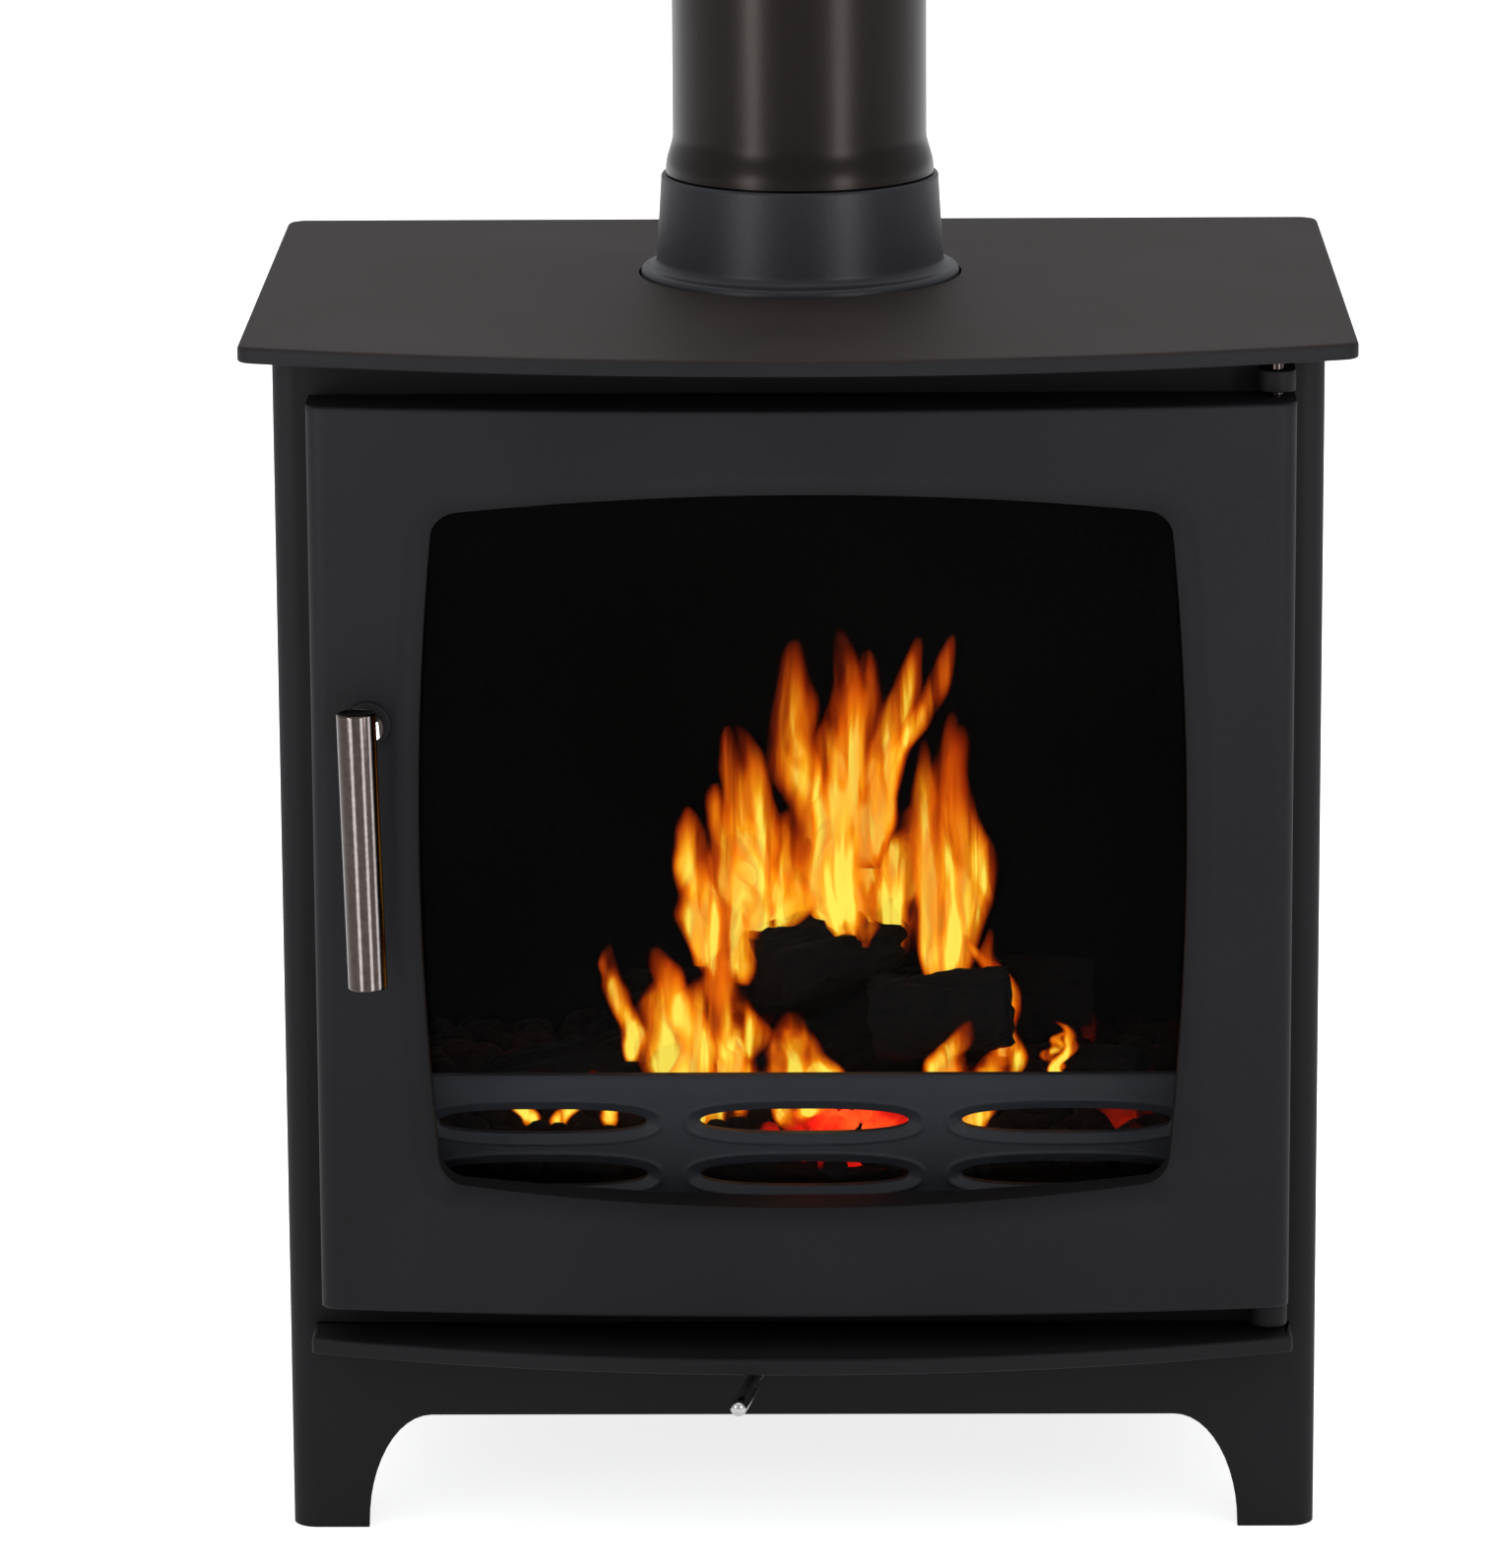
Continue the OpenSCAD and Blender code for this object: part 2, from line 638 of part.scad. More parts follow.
// ---- hinges, latch keeper and air pivot ----
module knuckle(z0) {
    difference() {
        union() {
            post(hinge_x, hinge_y, z0, z0 + knuckle_h, knuckle_r);
            block([hinge_x - knuckle_r, hinge_y, z0], [hinge_x + knuckle_r, 0, z0 + knuckle_h]);
        }
        post(hinge_x, hinge_y, z0 - over, z0 + knuckle_h + over, pin_r);
    }
}
top_knuckle_z = door_z1 + knuckle_gap;
low_knuckle_z = door_z0 - knuckle_gap - 1 - knuckle_h;
module pin(z0, z1) {
    post(hinge_x, hinge_y, z0 + 1, z1 - 1, pin_r);
    translate([hinge_x, hinge_y, z0]) cylinder(r1 = pin_r - 1, r2 = pin_r, h = 1);
    translate([hinge_x, hinge_y, z1 - 1]) cylinder(r1 = pin_r, r2 = pin_r - 1, h = 1);
}
module hinge_knuckle_top() { color(paint) place() knuckle(top_knuckle_z); }
module hinge_knuckle_bottom() { color(paint) place() knuckle(low_knuckle_z); }
module hinge_pin_top() { color(steel) place() pin(door_z1 - pin_depth, top_knuckle_z + knuckle_h + 4.5); }
module hinge_pin_bottom() { color(steel) place() pin(low_knuckle_z - 1, door_z0 + pin_depth); }

jamb_x = door_shift - open_half;            // left edge of the door's opening
keeper_t = 3.5;
module latch_keeper() {
    color(steel) place() {
        block([jamb_x - 14, panel_t, spindle_z - 26], [jamb_x, panel_t + keeper_t, spindle_z + 14]);
        block([jamb_x, panel_t, spindle_z - 24], [jamb_x + 3, panel_t + keeper_t, spindle_z - 10]);
    }
}
module air_pivot_bolt() {
    color(steel) place() {
        post(0, lever_pivot_y, shutter_z - 0.4, base_z + base_t + 8, stud_r);
        post(0, lever_pivot_y, shutter_z - 0.4 - bolt_head, shutter_z - 0.4, 8);
    }
}
module air_pivot_nut() {
    color(steel) place() difference() {
        translate([0, lever_pivot_y, base_z + base_t]) cylinder(r = nut_af / sqrt(3), h = nut_t, $fn = 6);
        post(0, lever_pivot_y, base_z, base_z + base_t + 20, stud_r + fit);
    }
}

// ---- door ----
door_face_y = bow_y(spindle_x - door_shift, door_half, door_front, door_bow);
boss_y = door_face_y - boss_h;
module door_frame() {
    mid_z = (door_z0 + door_z1) / 2;
    cavity_half = door_half - border_w;
    cavity_hh = door_h / 2 - border_w;
    color(iron) place() difference() {
        union() {
            in_door() difference() {
                slab(door_z0, door_z1)
                    polygon(bowed(door_half, door_back, door_front, door_bow, door_r, 2));
                intersection() {
                    slab(mid_z - cavity_hh, mid_z + cavity_hh) polygon(bowed(door_half, over,
                        door_front + door_wall, door_bow, door_r, 0.5));
                    block([-cavity_half, -200, 0], [cavity_half, over, stove_h]);
                }
            }
            // Seat that frames the window and carries the glass
            in_door() intersection() {
                slab(win_z - seat_hh, win_z + seat_hh)
                    polygon(bowed(door_half, seat_face, door_front, door_bow, door_r, 0.5));
                block([-seat_half, -200, 0], [seat_half, 0, stove_h]);
            }
            rod_y(spindle_x, spindle_z, boss_y, door_back - 2, boss_r);
        }
        in_door() wall_xz(-200, over) translate([0, win_z])
            polygon(barrel(win_half, win_h / 2, win_r, win_side_bulge, win_end_bulge));
        // Groove for the rope seal
        in_door() wall_xz(door_back - groove_d, over) translate([0, mid_z]) difference() {
            polygon(rounded(door_half - groove_in, door_h / 2 - groove_in, 12));
            polygon(rounded(door_half - groove_in - groove_w, door_h / 2 - groove_in - groove_w, 4));
        }
        rod_y(spindle_x, spindle_z, -200, over, spindle_r + run_fit);
        post(hinge_x, hinge_y, door_z1 - pin_depth - 2, door_z1 + over, pin_r + run_fit);
        post(hinge_x, hinge_y, door_z0 - over, door_z0 + pin_depth + 2, pin_r + run_fit);
        clip_places() rod_y(0, 0, seat_face - 8, over, m5_r + fit);
    }
}
module door_glass() {
    color([0.2, 0.2, 0.22, 0.35]) place() in_door()
        wall_xz(glass_y, glass_y + glass_t) translate([0, win_z]) polygon(rounded(glass_half, glass_hh, 4));
}
module glass_gasket() {
    color("#8d8a84") place() in_door() wall_xz(seat_face, glass_y) translate([0, win_z]) difference() {
        polygon(rounded(glass_half, glass_hh, 4));
        polygon(barrel(win_half + 1, win_h / 2 + 1, win_r, win_side_bulge, win_end_bulge));
    }
}
clip_half = glass_half + clip_gap;
clip_hh = glass_hh + clip_gap;
// Places of the six clips, with each clip turned to face the glass
module clip_places() {
    in_door() translate([0, 0, win_z]) {
        for (x = [-0.5, 0.5] * win_w, s = [-1, 1]) translate([x * 0.7, 0, s * clip_hh])
            rotate([0, s > 0 ? 0 : 180, 0]) children();
        for (s = [-1, 1]) translate([s * clip_half, 0, -win_h * 0.3])
            rotate([0, s * 90, 0]) children();
    }
}
module glass_clips() {
    y = glass_y + glass_t;
    color(steel) place() clip_places() difference() {
        union() {
            block([-9, seat_face, 1 - clip_gap], [9, y + 2, clip_gap - 1]);
            block([-9, y, -clip_gap - glass_lap + 2], [9, y + 2, 1 - clip_gap]);
        }
        rod_y(0, 0, seat_face - over, y + 2 + over, m5_r + fit);
    }
}
module glass_clip_screws() {
    y = glass_y + glass_t + 2;
    color(steel) place() clip_places() {
        rod_y(0, 0, seat_face - 7, y, m5_r);
        rod_y(0, 0, y, y + 2.5, 4.2);
    }
}
module door_rope() {
    mid_z = (door_z0 + door_z1) / 2;
    out = groove_in + 0.2;
    color("#5b5856") place() in_door() wall_xz(door_back - groove_d + 0.1, -0.5)
        translate([0, mid_z]) difference() {
            polygon(rounded(door_half - out, door_h / 2 - out, 11.8));
            polygon(rounded(door_half - out - groove_w + 0.4, door_h / 2 - out - groove_w + 0.4, 4.2));
        }
}

// ---- handle ----
nut_y1 = boss_y - 7 - washer_t;
nut_y0 = nut_y1 - nut_t;
module bar_frame() {
    translate([bar_x, -bar_y, spindle_z]) rotate([0, -bar_lean, 0]) children();
}
module handle_bar() {
    edge = 1;
    color(steel) place() difference() {
        bar_frame() rotate_extrude() polygon([[0, bar_top - bar_len], [bar_r - edge, bar_top - bar_len],
            [bar_r, bar_top - bar_len + edge], [bar_r, bar_top - edge], [bar_r - edge, bar_top], [0, bar_top]]);
        rod_y(spindle_x, spindle_z, 2 - bar_y, nut_y0 + 5, stud_r + fit);
        rod_y(spindle_x, spindle_z, nut_y0 - 0.2, nut_y0 + 20, nut_af);
    }
}
tongue_y = panel_t + keeper_t + 1;
module handle_spindle() {
    color(steel) place() {
        rod_y(spindle_x, spindle_z, 2.2 - bar_y, nut_y1 + washer_t, stud_r);
        rod_y(spindle_x, spindle_z, nut_y1 + washer_t, tongue_y, spindle_r);
        rod_y(spindle_x, spindle_z, tongue_y, tongue_y + tongue_t + nut_t + 2, stud_r);
    }
}
module handle_nut() {
    color(steel) place() difference() {
        hex_y(spindle_x, spindle_z, nut_y0, nut_y1, nut_af, 36);
        rod_y(spindle_x, spindle_z, nut_y0 - over, nut_y1 + over, stud_r + fit);
    }
}
module handle_washer() {
    color(steel) place() difference() {
        rod_y(spindle_x, spindle_z, nut_y1, nut_y1 + washer_t, 8);
        rod_y(spindle_x, spindle_z, nut_y1 - over, nut_y1 + washer_t + over, stud_r + fit);
    }
}
module latch_tongue() {
    color(steel) place() difference() {
        union() {
            rod_y(spindle_x, spindle_z, tongue_y, tongue_y + tongue_t, spindle_r + 0.5);
            block([spindle_x - 4, tongue_y, spindle_z - tongue_len],
                [spindle_x + 4, tongue_y + tongue_t, spindle_z - 5]);
        }
        rod_y(spindle_x, spindle_z, tongue_y - over, tongue_y + tongue_t + over, stud_r + fit);
    }
}
module latch_nut() {
    y = tongue_y + tongue_t;
    color(steel) place() difference() {
        hex_y(spindle_x, spindle_z, y, y + nut_t - 1, nut_af);
        rod_y(spindle_x, spindle_z, y - over, y + nut_t + over, stud_r + fit);
    }
}

// ---- air lever ----
module lever_frame() { translate([0, lever_pivot_y, 0]) rotate(-lever_lean) children(); }
module air_lever() {
    tip = lever_len - lever_r;
    color(steel) place() lever_frame() translate([0, -28, lever_z]) {
        rotate([90, 0, 0]) cylinder(r = lever_r, h = tip - 28);
        translate([0, 28 - tip, 0]) sphere(lever_r);
    }
}
module air_shutter() {
    color(dark) place() lever_frame() difference() {
        slab(shutter_z, shutter_z + shutter_t) {
            polygon(concat([[0, 0]], arc(0, 0, shutter_r, 270 - 36, 270 + 36, 12)));
            circle(14);
        }
        for (a = [-24, 0, 24] + [1, 1, 1] * lever_lean)
            rotate(a) post(0, -58, shutter_z - over, base_z, air_hole_r);
        post(0, 0, shutter_z - over, base_z, stud_r + run_fit);
    }
}

side_panel_left();
side_panel_right();
front_panel();
back_panel();
base_plate();
hearth_plate();
body_top();
top_plate();
top_plate_bolts();
ash_lip();
flue_collar();
collar_bolts();
collar_rope();
flue_pipe();
rear_outlet_cover();
rear_cover_bolts();
fire_brick_left();
fire_brick_right();
fire_brick_rear();
baffle();
baffle_rail_left();
baffle_rail_right();
grate();
grate_ledge_front();
grate_ledge_rear();
grate_ledge_left();
grate_ledge_right();
log_guard();
guard_support_left();
guard_support_right();
airwash_deflector();
ash_pan();
ash_pan_grip();
hinge_knuckle_top();
hinge_knuckle_bottom();
hinge_pin_top();
hinge_pin_bottom();
latch_keeper();
air_pivot_bolt();
air_pivot_nut();
door_frame();
door_glass();
glass_gasket();
glass_clips();
glass_clip_screws();
door_rope();
handle_bar();
handle_spindle();
handle_nut();
handle_washer();
latch_tongue();
latch_nut();
air_lever();
air_shutter();
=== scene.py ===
# %% [markdown]
# # A wood burning stove round its CAD frame
# The CAD model gives every part its place, its size and its joints. This script dresses that
# frame: it adds rounded castings, paint, glass, a log fire, soft studio light and a camera.
# Every length below is in millimetres, measured from the stove's front plane, and one function
# turns millimetres into Blender's metres.

# %% Load the frame
import math
import random
import bmesh
import bpy
from mathutils import Matrix, Vector, noise


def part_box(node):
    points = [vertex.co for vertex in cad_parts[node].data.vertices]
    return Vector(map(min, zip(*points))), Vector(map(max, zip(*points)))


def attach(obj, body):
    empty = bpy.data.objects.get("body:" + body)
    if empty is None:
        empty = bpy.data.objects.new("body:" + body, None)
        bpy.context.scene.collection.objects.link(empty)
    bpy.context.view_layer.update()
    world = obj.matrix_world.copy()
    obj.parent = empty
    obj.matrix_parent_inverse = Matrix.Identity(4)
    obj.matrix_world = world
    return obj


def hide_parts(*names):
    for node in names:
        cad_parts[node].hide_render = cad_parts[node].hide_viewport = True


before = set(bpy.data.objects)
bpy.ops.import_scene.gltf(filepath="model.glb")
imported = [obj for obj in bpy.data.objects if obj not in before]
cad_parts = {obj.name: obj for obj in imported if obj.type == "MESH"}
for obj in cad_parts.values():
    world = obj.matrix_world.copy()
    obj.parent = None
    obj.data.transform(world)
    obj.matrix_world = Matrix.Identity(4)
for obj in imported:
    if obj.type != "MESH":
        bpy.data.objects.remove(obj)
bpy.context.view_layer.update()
MM = 0.001
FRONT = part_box("front_panel")[0].y

# %% [markdown]
# ## Measuring the frame
# A node's box gives the lowest and highest corner of a CAD part. Sizes that follow from a box
# are read from it, so the dressed stove still fits if the CAD model changes.

# %% Boxes in millimetres
def corners(node):
    low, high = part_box(node)
    shift = Vector((0, FRONT, 0))
    return (low - shift) / MM, (high - shift) / MM


def metres(point):
    return Vector((point[0] * MM, FRONT + point[1] * MM, point[2] * MM))


DOOR_LOW, DOOR_HIGH = corners("door_frame")
SIDE_LOW, SIDE_HIGH = corners("side_panel_left")
FLOOR_Z = SIDE_LOW.z
print("door:", [round(v) for v in DOOR_HIGH - DOOR_LOW], "mm")

# %% [markdown]
# ## The camera
# A long lens a few metres away keeps a product's upright lines upright. The camera looks down
# by about 13 degrees, so the top plate shows as a shallow crescent. The sensor has no shift.

# %% Camera
CAMERA_AT = Vector((0.0297, -3.93546, 1.28624))
CAMERA_LENS = 184.9
LOOK_DOWN, LOOK_SIDE, ROLL = (math.radians(a) for a in (13.368, -0.843, -0.354))


def camera_axes(down, side, roll):
    forward = Vector((math.sin(side) * math.cos(down), math.cos(side) * math.cos(down),
                      -math.sin(down)))
    right = Vector((math.cos(side), -math.sin(side), 0))
    up = right.cross(forward)
    turned_right = math.cos(roll) * right + math.sin(roll) * up
    turned_up = -math.sin(roll) * right + math.cos(roll) * up
    return Matrix((turned_right, turned_up, -forward)).transposed()


camera_data = bpy.data.cameras.new("camera")
camera_data.lens = CAMERA_LENS
camera_data.sensor_width = 36
camera = bpy.data.objects.new("camera", camera_data)
axes = camera_axes(LOOK_DOWN, LOOK_SIDE, ROLL)
camera.matrix_world = Matrix.Translation(CAMERA_AT) @ axes.to_4x4()
bpy.context.scene.collection.objects.link(camera)
bpy.context.scene.camera = camera
print("camera", round((CAMERA_AT - Vector((0, FRONT, 0))).length, 2), "m from the front")

# %% [markdown]
# ## Materials: small helpers
# Colours are picked as sRGB hex values, as a paint card gives them, but a shader needs linear
# light. One function converts them, and one adds a node with its settings and its links. The
# rest are short names for the nodes that most finishes use, with their sizes in millimetres.

# %% Colour and node helpers
def linear(hex_colour):
    channels = [int(hex_colour[i:i + 2], 16) / 255 for i in (1, 3, 5)]
    curve = [c / 12.92 if c <= 0.04045 else ((c + 0.055) / 1.055) ** 2.4 for c in channels]
    return (*curve, 1.0)


def add_node(tree, kind, inputs=(), **settings):
    node = tree.nodes.new(kind)
    for name, value in settings.items():
        setattr(node, name, value)
    for socket, value in dict(inputs).items():
        if isinstance(value, bpy.types.NodeSocket):
            tree.links.new(value, node.inputs[socket])
        else:
            node.inputs[socket].default_value = value
    return node


def new_material(name, **surface):
    material = bpy.data.materials.new(name)
    material.use_nodes = True
    tree = material.node_tree
    shader = tree.nodes["Principled BSDF"]
    feed(tree, shader, **surface)
    place = add_node(tree, "ShaderNodeTexCoord").outputs["Object"]
    return material, tree, shader, place


def colour_ramp(tree, factor, *stops):
    ramp = add_node(tree, "ShaderNodeValToRGB", {"Fac": factor})
    elements = ramp.color_ramp.elements
    while len(elements) < len(stops):
        elements.new(0.5)
    for element, (at, colour) in zip(elements, stops):
        element.position = at
        element.color = linear(colour)
    return ramp.outputs["Color"]


def blend_colours(tree, factor, low, high, low_at=0.3, high_at=0.7):
    return colour_ramp(tree, factor, (low_at, low), (high_at, high))


def spread(tree, factor, low, high, start=0.0, stop=1.0):
    """Maps a value's run from start to stop onto low to high."""
    return add_node(tree, "ShaderNodeMapRange", {
        "Value": factor, "From Min": start, "From Max": stop, "To Min": low,
        "To Max": high}).outputs["Result"]


def axis_of(tree, place, axis):
    return add_node(tree, "ShaderNodeSeparateXYZ", {0: place}).outputs[axis]


def math_node(tree, operation, first, second=0.0):
    return add_node(tree, "ShaderNodeMath", {0: first, 1: second}, operation=operation).outputs[0]


def drawn_out(tree, place, share):
    """Squeezes the height axis, so that what is drawn in this place is stretched upright."""
    return add_node(tree, "ShaderNodeMapping",
                    {"Vector": place, "Scale": (1, 1, share)}).outputs["Vector"]


def raise_surface(tree, shader, heights, distance_mm, strength=1.0):
    bump = add_node(tree, "ShaderNodeBump", {"Height": heights, "Distance": distance_mm * MM,
                                             "Strength": strength})
    tree.links.new(bump.outputs["Normal"], shader.inputs["Normal"])


def per_metre(size_mm):
    return 1 / (size_mm * MM)


def cloud(tree, place, size_mm, detail, distortion=0.0):
    return add_node(tree, "ShaderNodeTexNoise", {
        "Vector": place, "Scale": per_metre(size_mm), "Detail": detail,
        "Distortion": distortion}).outputs["Fac"]


def feed(tree, shader, **sockets):
    """Links outputs to the shader, or sets its own sockets where a value is given."""
    for socket, value in sockets.items():
        target = shader.inputs[socket.replace("_", " ")]
        if isinstance(value, bpy.types.NodeSocket):
            tree.links.new(value, target)
        else:
            target.default_value = value


print("white is", [round(c, 2) for c in linear("#ffffff")])

# %% [markdown]
# ## Matt stove paint
# Stoves are sprayed with a silicone paint that stands 600 degrees. It dries dead matt with a
# fine dry grain, about half a millimetre across. Such a grain is too fine to show from across
# a room, so it is drawn 1.6 mm wide. Slow patches a hand wide vary the colour and the gloss,
# as sprayed paint does. The colour is also painted darker low down and lighter higher up, as
# painted shade for the light that falls off towards the floor. The same function paints sheet
# steel, the castings, the log guard and the top plate, whose upper face also gets a warmer
# brown colour: a painted sheen for the gloss the plate shows at a grazing view.

# %% Matt stove paint
# Painted shade: the paint's colour is multiplied by 0.8 at the floor, rising to 1.22 at 650 mm up.
PAINTED_SHADE_AT_FLOOR, PAINTED_LIGHT_AT_TOP, PAINTED_SHADE_RISE = 0.8, 1.22, 650
PATCH_MM, GRAIN_SHARE = 90, 0.35
PLATE_TOP = corners("top_plate")[1].z


def stove_paint(name, dark, light, roughness, grain_mm, grain_height_mm, specular,
                painted_sheen=None):
    material, tree, shader, place = new_material(name, IOR=1.5, Specular_IOR_Level=specular)
    patches = cloud(tree, place, PATCH_MM, 4.0)
    grain = cloud(tree, place, grain_mm, 3.0)
    mixed = add_node(tree, "ShaderNodeMix", {0: GRAIN_SHARE, 2: patches, 3: grain}).outputs[0]
    colour = blend_colours(tree, mixed, dark, light)
    height = axis_of(tree, place, "Z")
    # Painted sheen: the top plate's upper face gets warmer brown colours for its gloss at a grazing
    # view.
    if painted_sheen:
        upper_face_mask = spread(tree, height, 0.0, 1.0, (PLATE_TOP - 2.0) * MM, (PLATE_TOP - 0.4) * MM)
        painted_sheen_colour = blend_colours(tree, mixed, *painted_sheen)
        colour = add_node(tree, "ShaderNodeMix", {0: upper_face_mask, 6: colour, 7: painted_sheen_colour},
                          data_type="RGBA").outputs[2]
    # Painted shade: the colour is darker low down and lighter higher up.
    tone = spread(tree, height, PAINTED_SHADE_AT_FLOOR, PAINTED_LIGHT_AT_TOP, 0.0, PAINTED_SHADE_RISE * MM)
    painted_shade_colour = add_node(tree, "ShaderNodeMix", {0: 1.0, 6: colour, 7: tone}, data_type="RGBA",
                     blend_type="MULTIPLY").outputs[2]
    feed(tree, shader, Base_Color=painted_shade_colour,
         Roughness=spread(tree, patches, roughness - 0.05, roughness + 0.07))
    raise_surface(tree, shader, grain, grain_height_mm)
    return material


body_paint = stove_paint("matt_silicone_paint_on_sheet", "#121214", "#19191b", 0.62, 1.6, 0.05,
                         0.11)
# The two brown colours below are a painted sheen on the plate's upper face.
plate_paint = stove_paint("matt_silicone_paint_on_top_plate", "#151518", "#1d1d20", 0.6, 1.6,
                          0.05, 0.1, painted_sheen=("#1e1817", "#271f1e"))
cast_paint = stove_paint("matt_paint_on_sand_cast_iron", "#121214", "#1a1a1d", 0.58, 2.2, 0.12,
                         0.11)
guard_paint = stove_paint("matt_paint_on_cast_log_guard", "#1a1c23", "#24272f", 0.55, 2.2, 0.1,
                          0.2)
collar_paint = stove_paint("matt_paint_on_turned_iron", "#16161b", "#1f1f25", 0.44, 2.4, 0.08,
                           0.24)
print("paints:", body_paint.name, plate_paint.name, cast_paint.name)

# %% [markdown]
# ## Satin enamel on the flue pipe
# The pipe has a warm black vitreous enamel. It is smoother than the paint, so a lamp draws a
# soft upright streak on it. Long faint waves, left by rolling the sheet, break the streak up.

# %% Pipe enamel
def pipe_enamel():
    material, tree, shader, place = new_material("satin_enamel_on_flue_pipe", IOR=1.5,
                                                 Specular_IOR_Level=0.15)
    waves = cloud(tree, drawn_out(tree, place, 0.15), 22, 2.0)
    grain = cloud(tree, place, 1.4, 2.0)
    feed(tree, shader, Base_Color=blend_colours(tree, grain, "#0b0807", "#130d0b"),
         Roughness=spread(tree, waves, 0.27, 0.37), Specular_Tint=linear("#fff0ea"))
    raise_surface(tree, shader, grain, 0.04)
    return material


flue_enamel = pipe_enamel()
print("enamel:", flue_enamel.name)

# %% [markdown]
# ## Metals
# The handle and the hinge pins are polished stainless steel with a dark brown base colour: a
# painted reflection of the brown-grey surroundings that the bar mirrors. The air lever and the
# nut are bright steel. Turning leaves fine rings that break a highlight up a little. The bolts
# and clips are zinc plated, which is greyer and rougher.

# %% Polished stainless and zinc
def turned_metal(name, dark, light, roughness, ring_mm):
    material, tree, shader, place = new_material(name, Metallic=1.0)
    rings = cloud(tree, place, ring_mm, 4.0)
    feed(tree, shader, Base_Color=blend_colours(tree, rings, dark, light),
         Roughness=spread(tree, rings, roughness - 0.04, roughness + 0.05))
    raise_surface(tree, shader, rings, 0.02, 0.5)
    return material


# Painted reflection: the dark brown colours stand in for what the polished bar mirrors.
stainless = turned_metal("stainless_steel_painted_dark_reflection", "#3a3230", "#453d3a", 0.13, 3.0)
bright_steel = turned_metal("bright_polished_steel", "#9c9a99", "#b4b2b1", 0.15, 3.0)
zinc_plate = turned_metal("zinc_plated_steel", "#8b8d90", "#a9abad", 0.36, 2.0)
print("metals:", stainless.name, zinc_plate.name)

# %% [markdown]
# ## Inside the firebox
# Everything inside is dark with soot, with grey ash dusted on it. The lining is vermiculite
# board, a pressed mica that breaks into flakes a few millimetres wide; its near-black colour is
# partly soot and partly painted shade that keeps the firebox dark. The rope seals are braided
# glass fibre. The grate is bare cast iron, burnt to a brown black.

# %% Sooted steel, iron, board and rope
def sooted(name, soot, ash, roughness, fleck_mm, height_mm, ash_from=0.55):
    material, tree, shader, place = new_material(name, Specular_IOR_Level=0.0,
                                                 Roughness=roughness)
    clouds = cloud(tree, place, 60, 6.0)
    flecks = add_node(tree, "ShaderNodeTexVoronoi", {
        "Vector": place, "Scale": per_metre(fleck_mm)}).outputs["Distance"]
    mixed = add_node(tree, "ShaderNodeMix", {0: 0.3, 2: clouds, 3: flecks}).outputs[0]
    feed(tree, shader,
         Base_Color=blend_colours(tree, mixed, soot, ash, ash_from - 0.2, ash_from + 0.3))
    raise_surface(tree, shader, flecks, height_mm)
    return material


def braided_rope():
    material, tree, shader, place = new_material("braided_glass_fibre_rope", Roughness=0.9,
                                                 Specular_IOR_Level=0.15)
    strands = add_node(tree, "ShaderNodeTexWave", {
        "Vector": place, "Scale": per_metre(12), "Distortion": 1.5},
        bands_direction="DIAGONAL").outputs["Fac"]
    feed(tree, shader, Base_Color=blend_colours(tree, strands, "#3b3937", "#7c7974"))
    raise_surface(tree, shader, strands, 0.6)
    return material


inner_steel = sooted("sooted_sheet_steel", "#080707", "#1b1a19", 0.85, 3.0, 0.1)
inner_iron = sooted("burnt_cast_iron", "#0c0907", "#241e1a", 0.8, 4.0, 0.25)
# Partly soot, partly painted shade: the board is coloured almost black so the firebox reads dark.
fire_brick = sooted("vermiculite_board_soot_and_painted_shade", "#020201", "#0a0706", 0.95, 5.0, 0.12, 0.65)
rope_seal = braided_rope()
print("inside:", inner_steel.name, inner_iron.name, fire_brick.name, rope_seal.name)

# %% [markdown]
# ## Stove glass
# The window is 4 mm glass ceramic. It is clear with a faint smoky tint that varies in slow
# patches. Alpha lets the fire through and keeps a little gloss.

# %% Stove glass
def stove_glass():
    material, tree, shader, place = new_material("smoky_glass_ceramic", Roughness=0.04, IOR=1.54,
                                                 Specular_IOR_Level=0.3,
                                                 Base_Color=linear("#050505"))
    feed(tree, shader, Alpha=spread(tree, cloud(tree, place, 140, 3.0), 0.01, 0.05))
    return material


glass = stove_glass()
print("glass:", glass.name)

# %% [markdown]
# ## Dressing the CAD nodes
# Each CAD node arrives with the name of its material slot. A dictionary turns that name into
# one of the finishes above, so every small part inside has a real surface too.

# %% Give each CAD node its finish
FINISHES = {"body_paint": body_paint, "plate_paint": plate_paint, "cast_paint": cast_paint,
            "pipe_enamel": flue_enamel, "stainless": stainless, "zinc_steel": zinc_plate,
            "inner_steel": inner_steel, "inner_iron": inner_iron, "fire_brick": fire_brick,
            "rope_seal": rope_seal, "door_glass": glass}
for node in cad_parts.values():
    for material_slot in node.material_slots:
        material_slot.material = FINISHES[material_slot.name.split(".")[0]]
print(len(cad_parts), "CAD nodes finished")

# %% [markdown]
# ## Helpers that build a shape from loops
# Most castings here are stacks of loops: each loop is a closed ring of points, and faces run
# from one loop to the next. A flat end is closed with one face. Two loops close together at a
# flat end keep its shading flat. The normals are then turned outward in one step.

# %% Loops to a mesh
SHARP_ANGLE = math.radians(38)


def finish_mesh(piece, shell, smooth=True):
    bmesh.ops.remove_doubles(shell, verts=shell.verts, dist=0.005 * MM)
    bmesh.ops.recalc_face_normals(shell, faces=shell.faces)
    shell.to_mesh(piece.data)
    shell.free()
    if smooth:
        piece.data.shade_smooth()
        piece.data.set_sharp_from_angle(angle=SHARP_ANGLE)


def new_piece(name, material):
    piece = bpy.data.objects.new(name, bpy.data.meshes.new(name))
    piece.data.materials.append(material)
    bpy.context.scene.collection.objects.link(piece)
    return piece


